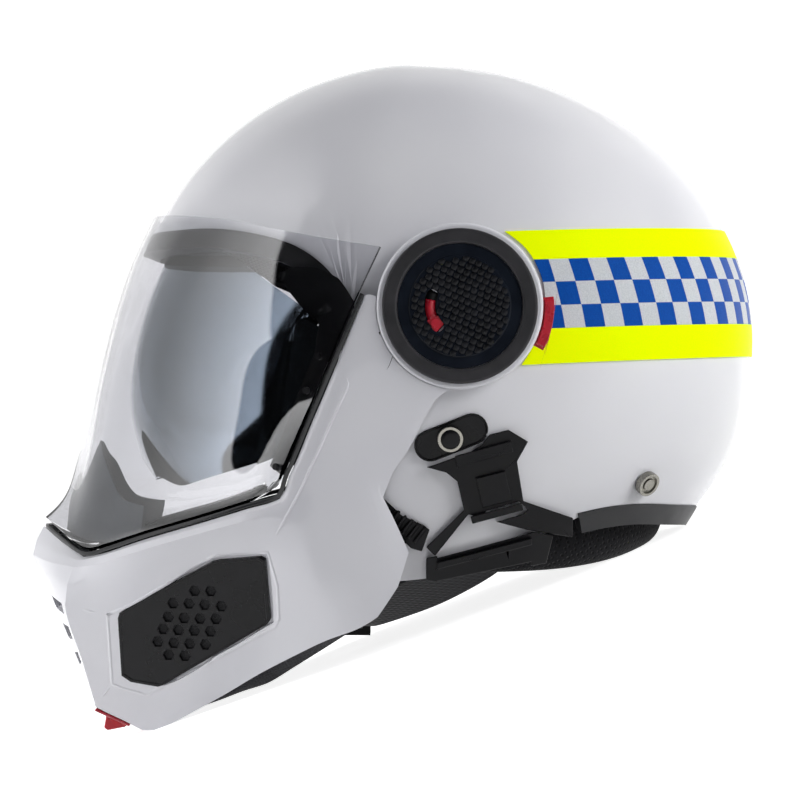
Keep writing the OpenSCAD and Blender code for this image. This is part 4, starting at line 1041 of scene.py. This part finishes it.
@dataclass(frozen=True)
class Vent:
    """The black panel in the guard's side, with its lip and its twenty six-sided holes.

    Its outline and holes are places in the view from the side, and are laid on the plane of the
    CAD panel's outer face. Each pair of the lip is a distance in from the outline and a height
    over that plane. Each pair of the well is a hole's radius and a height.
    """

    side: Side
    outline: Line = (
        (-161.6, -144.4), (-158.5, -142.2), (-117.3, -120.1), (-113.6, -119.3), (-94.1, -117.7),
        (-91.7, -119.0), (-89.2, -147.5), (-90.6, -149.9), (-140.8, -179.2), (-143.2, -179.9),
        (-156.2, -177.6), (-160.6, -174.6), (-162.4, -147.0))
    holes: Line = (
        (-125.5, -133.9), (-117.8, -134.0), (-135.9, -139.9), (-128.2, -140.0), (-120.7, -140.6),
        (-112.7, -141.3), (-138.2, -146.4), (-130.6, -147.0), (-122.9, -147.3), (-115.3, -147.4),
        (-140.7, -152.2), (-133.4, -152.7), (-125.7, -153.0), (-117.9, -153.4), (-143.2, -158.3),
        (-135.5, -158.9), (-127.9, -159.3), (-120.3, -159.7), (-138.0, -164.6), (-130.2, -165.1))
    lip: Line = ((0.0, -1.9), (0.0, 0.0), (0.35, 0.4), (1.5, 0.4), (1.8, 0.1))
    well: Line = ((3.1, 0.1), (2.8, -0.2), (2.65, -1.0))
    squeeze: float = 0.93

    def build(self) -> None:
        """Builds the panel: a lip round it, a field with holes, and floors that close them."""
        source = frame["nodes"]["vent_panel_left"].data
        face = max(source.polygons, key=lambda f: f.normal.x * f.area)
        corners = [Vector(p) for p in self.outline]
        centre = sum(corners, Vector((0, 0))) / len(corners)
        form = Rings()

        def lay(shape: Iterable[Vector], over_mm: float) -> list[int]:
            over = face.normal * over_mm * MM
            return form.ring([self.side.mirrored(
                SIGHT.meet(p.x, p.y, face.center, face.normal) + over) for p in shape])

        rims = [lay([p + (centre - p).normalized() * inset for p in corners], over)
                for inset, over in self.lip]
        form.wall(rims)
        form.faces.append(rims[0][::-1])
        loops, floors = [rims[-1]], []
        sixths = [Vector((self.squeeze * math.cos(a), math.sin(a)))
                  for a in (math.radians(60 * k) for k in range(6))]
        for hole in map(Vector, self.holes):
            rings = [lay([hole + way * r for way in sixths], over) for r, over in self.well]
            form.wall(rings)
            floors.append(len(form.faces))
            form.faces.append(rings[-1])
            loops.append(rings[0])
        order = [k for loop in loops for k in loop]
        flat = [[form.points[k] for k in loop] for loop in loops]
        form.faces += [[order[k] for k in triangle] for triangle in tessellate_polygon(flat)]
        node = f"vent_panel_{self.side.label}"
        piece = add_mesh(node + "_piece", form.points, form.faces)
        shape = bmesh.new()
        shape.from_mesh(piece.data)
        bmesh.ops.recalc_face_normals(shape, faces=shape.faces)
        shape.to_mesh(piece.data)
        shape.free()
        settle(piece, node, Finishes.SATIN)
        piece.data.materials.append(Finishes.FILTER.material())
        for number in floors:
            piece.data.polygons[number].material_index = 1


@dataclass
class Guard:
    """The painted face guard with its lining, vents, louvres, release and latches.

    The lines are paths in the view from the side. A bead's sizes are its half width, its height
    and its depth, in millimetres.
    """

    edge_mm: float = 0.5
    filter_reach: float = 1.6
    curtain_fill: float = 0.2
    ridge_bend: float = 11.0
    fade_steps: float = 3.0
    step_line: Line = ((-57.1, -27.3), (-52.5, -32.2), (-52.0, -34.2), (-52.4, -36.6),
                       (-74.9, -85.9), (-89.0, -112.0))
    frame_line: Line = (
        (-167.3, -145.4), (-165.1, -178.5), (-160.8, -180.4), (-148.6, -183.8), (-86.9, -151.2),
        (-85.0, -147.3), (-85.9, -131.0), (-90.3, -115.4), (-116.2, -116.9), (-156.0, -140.6),
        (-167.3, -145.4))
    chin_lines: Sequence[Line] = (((-184.0, -142.0), (-167.8, -145.2)),
                                  ((-165.1, -178.5), (-170.6, -186.0)))
    step_size: tuple[float, float, float] = (0.8, 0.35, 0.5)
    ridge_size: tuple[float, float, float] = (1.1, 0.3, 0.5)

    def widen(self, mesh: Cage) -> None:
        """Widens the filter behind the vent, so that it closes every hole of the panel."""
        middle = sum((v.co for v in mesh.verts), Vector()) / len(mesh.verts)
        flat = max(mesh.faces, key=lambda face: face.calc_area()).normal
        for vert in mesh.verts:
            off = vert.co - middle
            deep = flat * off.dot(flat)
            vert.co = middle + deep + (off - deep) * self.filter_reach

    def bead(self, name: str, skin: Skin, path: Line, side: Side,
             sizes: tuple[float, float, float]) -> None:
        """Lays a low rounded line on the bar, which fades out at its ends if it has any."""
        spots, ways = skin.trace(path, side)
        half, high, sink = [size * MM for size in sizes]
        last = len(spots) - 1
        fade = 0.01 if path[0] == path[-1] else self.fade_steps
        halves = [half * min(1.0, (i + 0.2) / fade, (last - i + 0.2) / fade)
                  for i in range(last + 1)]
        points, faces = ribbon_tube(spots, ways, halves, high, sink)
        add_piece(f"{name}_{side.label}", points, faces, "chin_bar", Finishes.GUARD)

    def lines(self, bar: Piece) -> None:
        """Lays the mould's fine ridges: down each arm, round the vents and at the chin."""
        skin = Skin(bar)
        for side in Side:
            self.bead("arm_step_line", skin, self.step_line, side, self.step_size)
            self.bead("vent_frame_line", skin, self.frame_line, side, self.ridge_size)
            for number, path in enumerate(self.chin_lines):
                self.bead(f"chin_ridge_{number}", skin, path, side, self.ridge_size)

    def build(self) -> None:
        """Builds the guard and what is fixed to it."""
        self.lines(Recast("chin_bar", Finishes.GUARD, edges=Edges.CRISP, faint=self.ridge_bend,
                          inside=Finishes.NYLON).build())
        Recast("chin_bar_lining", Finishes.FOAM, 1).build()
        Recast("chin_louvres", Finishes.NYLON, 1).build()
        Recast("breath_deflector", Finishes.DEFLECTOR, edges=Edges.SOFT).build()
        pad("chin_curtain", Finishes.CLOTH)
        for side in Side:
            Vent(side).build()
            Recast(f"vent_filter_{side.label}", Finishes.FILTER, 0).build(self.widen)
        dress(Finishes.STEEL, "latch_hook_left", "latch_hook_right", "latch_pins")
        hard("chin_release", Finishes.RED, self.edge_mm)


@dataclass(frozen=True)
class SunSweep:
    """How far the sun visor's edges reach round its own pivot, in degrees up from straight ahead.

    Its upper edge goes on behind the brow and its lower one further down beside the nose, in the
    band that the liner leaves free for it. Points nearer to the pivot than near stay where they
    are, and those further away than far take the whole turn.
    """

    pivot: Pair = (-10.0, -45.0)
    half_w: float = 104.0
    low: float = -15.0
    high: float = 25.5
    ear_rise: float = 8.0
    nose_rise: float = 5.0
    nose_half: float = 16.0
    nose_deeper: float = 3.0
    to_middle: float = -12.0
    to_low: float = -17.5
    to_high: float = 36.5
    side_x: float = 60.0
    near: float = 58.0
    far: float = 70.0

    def edges_at(self, x: float) -> Pair:
        """The lower edge's angle at a distance from the middle, as it is and as it will be."""
        nose = self.nose_rise * max(1 - (x / self.nose_half) ** 2, 0)
        was = self.low + self.ear_rise * (x / self.half_w) ** 2 + nose
        down = (self.to_low - self.to_middle) * min(abs(x) / self.side_x, 1) ** 2
        will = self.to_middle + down + nose - self.nose_deeper * (nose > 0)
        return was, min(was, will)

    def reach(self, mesh: Cage) -> None:
        """Turns the visor's points about its pivot, the more the nearer they are to an edge."""
        for vert in mesh.verts:
            place = STAND.worn(vert.co)
            y, z = place.y - self.pivot[0], place.z - self.pivot[1]
            r, up = math.hypot(y, z), math.degrees(math.atan2(z, -y))
            weight = min(max((r - self.near) / (self.far - self.near), 0), 1)
            was, will = self.edges_at(place.x)
            share = (up - was) / (self.high - was)
            a = math.radians(up + (will + (self.to_high - will) * share - up) * weight)
            vert.co = STAND.place(place.x, self.pivot[0] - r * math.cos(a),
                                  self.pivot[1] + r * math.sin(a))


@dataclass
class Visors:
    """The clear visor in its black gasket, and the mirror screen behind it.

    The dark strip's line and the cheek's outline are places in the view from the side. The cheek
    lies on a plane at cheek_x.
    """

    seat_line: Line = (
        (-86.0, 18.5), (-79.5, 16.5), (-72.0, 13.0), (-64.5, 8.0), (-59.3, 1.5), (-59.6, -6.8),
        (-64.3, -21.6), (-72.5, -40.3), (-80.7, -59.0), (-89.3, -78.7))
    seat_halves: Sequence[float] = (1.0, 5.6, 9.2, 10.6, 10.0, 7.0, 4.6, 4.6, 4.6, 4.6)
    seat_under: float = 3.2
    seat_t: float = 1.2
    cheek: Line = (
        (-95.1, -73.2), (-83.1, -68.8), (-76.8, -61.6), (-72.0, -52.0), (-64.3, -36.6),
        (-64.3, -23.2), (-75.0, -23.2), (-93.1, -52.0))
    cheek_x: float = 101.6
    lever_edge_mm: float = 0.3

    def seat(self, visor: Piece) -> None:
        """Adds a black strip under the edge of the clear sheet on each side. It darkens the
        helmet's inside where it shows through the sheet: partly its black lining, partly painted
        shade.
        """
        skin = Skin(visor)
        ends = list(zip(self.seat_line, self.seat_halves))
        for side in Side:
            under, inwards, halves = [], [], []
            for (start, half), (end, next_half) in zip(ends, ends[1:]):
                spots, ways = skin.trace((start, end), side)
                last = len(spots) - 1
                under += [s - w * self.seat_under * MM for s, w in zip(spots[:-1], ways)]
                inwards += [-way for way in ways[:-1]]
                halves += [(half + (next_half - half) * k / last) * MM for k in range(last)]
            # Partly painted shade: a black strip where the helmet's inside shows dark through the
            # clear sheet.
            points, faces = ribbon_tube(under, inwards, halves, self.seat_t * MM, 0.0, 5)
            add_piece(f"visor_seat_{side.label}", points, faces, "visor_gasket", Finishes.NYLON)

    def cheeks(self) -> None:
        """Adds the sun visor's thin skirts, which go on down to the gasket inside its ears."""
        point, out = Vector((self.cheek_x * MM, 0, 0)), Vector((1, 0, 0))
        for side in Side:
            add_piece(f"sun_visor_skirt_{side.label}",
                      [side.mirrored(SIGHT.meet(y, z, point, out)) for y, z in self.cheek],
                      [list(range(len(self.cheek)))[::side.value]], "sun_visor",
                      Finishes.SUN_VISOR)

    def build(self) -> None:
        """Builds both visors and their fittings."""
        visor = Recast("visor", Finishes.VISOR, edges=Edges.CRISP).build()
        keep_flat(visor)
        self.seat(visor)
        self.cheeks()
        Recast("visor_gasket", Finishes.GASKET, edges=Edges.SOFT).build()
        Recast("sun_visor", Finishes.SUN_VISOR, edges=Edges.CRISP).build(SunSweep().reach)
        dress(Finishes.SATIN, "visor_pins")
        dress(Finishes.STEEL, "sun_visor_pins")
        hard("sun_visor_lever", Finishes.RED, self.lever_edge_mm)


@dataclass
class Pivots:
    """The pivot on each side: white boss, black ring, cobbled disc and red lock pin.

    Places on the disc are polar: millimetres from its middle, and degrees from straight back.
    A cobble's rings are shares of its half width, and heights.
    """

    boss_out: float = 129.2
    disc_out: float = 2.0
    face_drop: float = 0.5
    disc_r: float = 22.5
    pitch: float = 3.14
    row_share: float = 0.94
    slope: float = math.radians(-25)
    cobble_half: float = 1.42
    cobble_sides: int = 12
    cobble_rings: Line = ((1.0, 0.0), (0.98, 0.42), (0.86, 0.66), (0.5, 0.8))
    cobble_top: float = 0.83
    cobble_power: float = 5.0
    cobble_sink: float = 0.05
    seed: int = 7
    slot_r: float = 13.4
    slot_ends: Pair = (159.0, 222.0)
    slot_clear: float = 3.5
    boss_edge_mm: float = 0.4
    ring_edge_mm: float = 0.5
    cover_edge_mm: float = 0.12
    sector_steps: int = 16

    def cover(self, side: Side) -> None:
        """Builds the cover with its disc's face let down between the cobbles."""
        def let_down(mesh: Cage) -> None:
            for vert in mesh.verts:
                if abs(STAND.worn(vert.co).x) > self.boss_out + 1.6:
                    vert.co.x -= side.value * self.face_drop * MM
        hard(f"pivot_cover_{side.label}", Finishes.GLOSS_BLACK, self.cover_edge_mm, let_down)

    def in_slot(self, y: float, z: float) -> bool:
        """Whether a cobble's middle is too near to the slot."""
        a = math.degrees(math.atan2(z, y)) % 360
        a = math.radians(min(max(a, self.slot_ends[0]), self.slot_ends[1]))
        return math.hypot(y - self.slot_r * math.cos(a),
                          z - self.slot_r * math.sin(a)) < self.slot_clear

    def on_disc(self, side: Side, over: float, y: float, z: float) -> Vector:
        """A place over the cobbles' base, moved in to the disc's edge if it lies past it."""
        base = self.boss_out + self.disc_out - self.face_drop - self.cobble_sink
        share = min(1.0, self.disc_r / max(math.hypot(y, z), 0.01))
        return STAND.place(side.value * (base + over), y * share, z * share)

    def middles(self) -> list[tuple[float, float, float]]:
        """The cobbles' places and half widths, in rows, each a little off its place."""
        chance = random.Random(self.seed)
        reach = int(self.disc_r / self.pitch) + 1
        c, s = math.cos(self.slope), math.sin(self.slope)
        found = []
        for row in range(-reach, reach + 1):
            slide = chance.uniform(-0.3, 0.3) * self.pitch
            for column in range(-reach, reach + 1):
                along = column * self.pitch + slide + chance.uniform(-0.12, 0.12)
                across = row * self.pitch * self.row_share + chance.uniform(-0.08, 0.08)
                y, z = along * c - across * s, along * s + across * c
                half = self.cobble_half * chance.uniform(0.92, 1.03)
                if math.hypot(y, z) <= self.disc_r - 0.5 and not self.in_slot(y, z):
                    found.append((y, z, half))
        return found

    def cobbles(self, side: Side) -> None:
        """Lays small rounded cobbles on the disc."""
        form = Rings()
        sides = self.cobble_sides
        corners = []
        for a in (2 * math.pi * (k + 0.5) / sides for k in range(sides)):
            sum_of = abs(math.cos(a)) ** self.cobble_power + abs(math.sin(a)) ** self.cobble_power
            r = 1 / sum_of ** (1 / self.cobble_power)
            corners.append((r * math.cos(a + self.slope), r * math.sin(a + self.slope)))
        for y, z, half in self.middles():
            rings = [form.ring([self.on_disc(side, up, y + half * size * c, z + half * size * d)
                                for c, d in corners]) for size, up in self.cobble_rings]
            tip = form.ring([self.on_disc(side, self.cobble_top, y, z)])
            form.wall(rings, side.value)
            top = rings[-1]
            form.faces += [[top[k], top[(k + 1) % sides], tip[0]][::side.value]
                           for k in range(sides)]
            form.faces.append(rings[0][::-side.value])
        add_piece(f"disc_cobbles_{side.label}", form.points, form.faces,
                  f"pivot_cover_{side.label}", Finishes.COBBLES)

    def sector(self, name: str, node: str, side: Side, finish: Finish, radii: Pair, ends: Pair,
               heights: Pair) -> None:
        """Adds a thin flat sector of a ring round the pivot.

        Args:
            name: the piece's name, without its side.
            node: the node that it belongs to, without its side.
            side: its side.
            finish: its finish.
            radii: its inner and outer radius.
            ends: the angles that it goes between.
            heights: how far its faces are over the boss.
        """
        form = Rings()
        steps = self.sector_steps
        turns = [math.radians(ends[0] + (ends[1] - ends[0]) * k / steps)
                 for k in range(steps + 1)]
        rings = []
        for over, r in ((heights[0], radii[0]), (heights[0], radii[1]), (heights[1], radii[1]),
                        (heights[1], radii[0])):
            rings.append(form.ring([STAND.place(side.value * (self.boss_out + over),
                                                r * math.cos(a), r * math.sin(a))
                                    for a in turns]))
        form.wall(list(zip(*rings)), -side.value)
        form.faces += [[ring[0] for ring in rings][::side.value],
                       [ring[-1] for ring in rings][::-side.value]]
        add_piece(f"{name}_{side.label}", form.points, form.faces, f"{node}_{side.label}", finish)

    def build(self) -> None:
        """Builds both pivots."""
        for side in Side:
            hard(f"pivot_boss_{side.label}", Finishes.GUARD, self.boss_edge_mm)
            hard(f"pivot_ring_{side.label}", Finishes.RING, self.ring_edge_mm)
            self.cover(side)
            self.cobbles(side)
            dress(Finishes.STEEL, f"pivot_axle_{side.label}")
            dress(Finishes.RED, f"lock_pin_{side.label}")
            self.sector("slot_floor", "pivot_cover", side, Finishes.NYLON, (10.2, 16.9),
                        (150, 230), (0.02, 0.12))
            self.sector("lock_blade", "lock_pin", side, Finishes.RED, (11.2, 15.6),
                        (168, 206), (0.2, 0.75))


class Harness:
    """The chin strap, its anchors and its ratchet buckle."""

    def build(self) -> None:
        """Builds the straps and dresses the buckle."""
        for side in Side:
            Recast(f"strap_{side.label}", Finishes.WEBBING).build()
        dress(Finishes.STEEL, "strap_anchors", "buckle_tongue", "buckle_pin")
        dress(Finishes.NYLON, "buckle_body")
        dress(Finishes.RED, "buckle_pawl")


@dataclass(frozen=True)
class Lamp:
    """A soft box: where it stands as the helmet is worn, its size in metres and its power.

    Reflections don't show it, because the world's own soft box takes its place in them.
    """

    name: str
    place: tuple[float, float, float]
    wide: float
    high: float
    watts: float
    aim: tuple[float, float, float] = (0.0, 0.0, -20.0)

    def build(self) -> None:
        """Puts the lamp up, aimed at the middle of the helmet."""
        data = bpy.data.lights.new(self.name, "AREA")
        data.shape, data.size, data.size_y = "RECTANGLE", self.wide, self.high
        data.energy = self.watts
        lamp = add_object(self.name, data)
        place = STAND.place(*[v / MM for v in self.place])
        turn = (STAND.place(*self.aim) - place).to_track_quat("-Z", "Y").to_matrix().to_4x4()
        lamp.matrix_world = Matrix.Translation(place) @ turn
        lamp.visible_glossy = lamp.visible_transmission = False


@dataclass
class Studio:
    """White paper, soft boxes and the camera at the photograph's angle.

    Lengths are in metres, apart from the view's width. The room is drawn by the X, Y and Z of
    the way that a ray goes, and each pair of an axis is where a change begins and ends.
    """

    wide_mm: float = 384.0
    sensor: float = 36.0
    paper_rows: int = 12
    paper_half: float = 6.0
    paper_near: float = 3.0
    paper_flat: float = 5.0
    paper_curl: float = 1.2
    world_light: float = 0.15
    world_colour: str = "#EEEFF7"
    dark_x: Pair = (-0.6, -0.1)
    dark_shine: Pair = (1.0, 0.02)
    behind_y: Pair = (-0.5, -0.1)
    behind_shine: Pair = (0.4, 1.0)
    box_wide: float = 1.0
    box_rim: float = 0.02
    box_fade: Pair = (0.35, 1.0)
    box_low_z: Pair = (0.02, 0.25)
    box_edge: Pair = (0.1, 0.585)
    box_y: Pair = (-0.4, -0.15)
    box_shine: float = 3.2
    bent_x: Pair = (-0.93, -0.6)
    bent_shine: Pair = (0.8, 0.15)
    lamps: Sequence[Lamp] = (
        Lamp("back_box", (0.8, 1.7, 0.7), 1.4, 1.2, 46),
        Lamp("face_box", (0.05, -1.8, 0.1), 0.9, 1.8, 24),
        Lamp("high_box", (1.1, -0.1, 1.7), 1.6, 1.2, 1.2),
    )

    def camera(self) -> None:
        """A camera square to the helmet's left side, level with the helmet as it is worn."""
        data = bpy.data.cameras.new("camera")
        data.sensor_width = self.sensor
        data.lens = self.sensor * SIGHT.far / self.wide_mm
        camera = add_object("camera", data)
        up, back = STAND.way(0, 0, 1), Vector((1, 0, 0))
        turn = Matrix((up.cross(back), up, back)).transposed().to_4x4()
        camera.matrix_world = Matrix.Translation(SIGHT.eye()) @ turn
        bpy.context.scene.camera = camera

    def sweep(self) -> None:
        """A wide floor of white paper that curves up behind the helmet."""
        points = []
        for k in range(2 * self.paper_rows + 1):
            share = k / self.paper_rows
            a = max(0.0, share - 1) * math.pi / 2
            x = self.paper_near - self.paper_flat * min(share, 1) - self.paper_curl * math.sin(a)
            points += [Vector((x, y, self.paper_curl * (1 - math.cos(a))))
                       for y in (-self.paper_half, self.paper_half)]
        faces = [[k, k + 1, k + 3, k + 2] for k in range(0, 4 * self.paper_rows, 2)]
        floor = add_mesh("paper_floor", points, faces)
        floor.data.shade_smooth()
        paint(floor, Finishes.PAPER)

    def air(self) -> None:
        """A white room to what looks at it, and a softer light on what it shines on.

        In reflections the room is white behind the helmet and dark on the camera's side, with a
        large soft box in front of the helmet's face that fades away from its sharp edge.
        """
        world = bpy.data.worlds.new("studio")
        nodes = Nodes.of(world)

        def glow(strength: Socket | float, colour: str = "#FFFFFF") -> Socket:
            return nodes.add("Background", "Background", {"Color": linear(colour),
                                                          "Strength": strength})

        way = add_node(nodes.tree, "SeparateXYZ", {
            "Vector": nodes.add("TexCoord", "Generated")}).outputs
        edge = nodes.over(way["Z"], self.box_low_z, self.box_edge)
        inwards = nodes.sum("SUBTRACT", way["X"], edge)
        fade = nodes.over(inwards, (-self.box_wide, 0.0), self.box_fade)
        box = nodes.over(inwards, (0.0, self.box_rim), (self.box_shine, 0.0))
        for share in (fade, fade, nodes.over(way["Y"], self.box_y, (1.0, 0.0))):
            box = nodes.sum("MULTIPLY", box, share)
        behind = nodes.sum("MULTIPLY", nodes.over(way["X"], self.dark_x, self.dark_shine),
                           nodes.over(way["Y"], self.behind_y, self.behind_shine))
        mixed = glow(self.world_light, self.world_colour)
        path = add_node(nodes.tree, "LightPath").outputs
        for when, what in (
                ("Is Transmission Ray", glow(nodes.over(way["X"], self.bent_x, self.bent_shine))),
                ("Glossy Depth", glow(nodes.sum("ADD", box, behind))),
                ("Is Camera Ray", glow(1.0))):
            mixed = nodes.blend(nodes.sum("MINIMUM", path[when], 1.0), mixed, what)
        add_node(nodes.tree, "OutputWorld", {"Surface": mixed})
        bpy.context.scene.world = world

    def build(self) -> None:
        """Sets the whole studio up."""
        self.camera()
        self.sweep()
        self.air()
        for lamp in self.lamps:
            lamp.build()
        bpy.context.scene.view_settings.view_transform = "Standard"


def main() -> None:
    """Builds the studio and the helmet."""
    logging.basicConfig(level=logging.INFO, format="%(name)s: %(message)s")
    for part in (Studio(), Shell(), Liner(), Guard(), Visors(), Pivots(), Harness()):
        part.build()
        LOG.info("%s done", type(part).__name__)


if __name__ == "__main__":
    main()
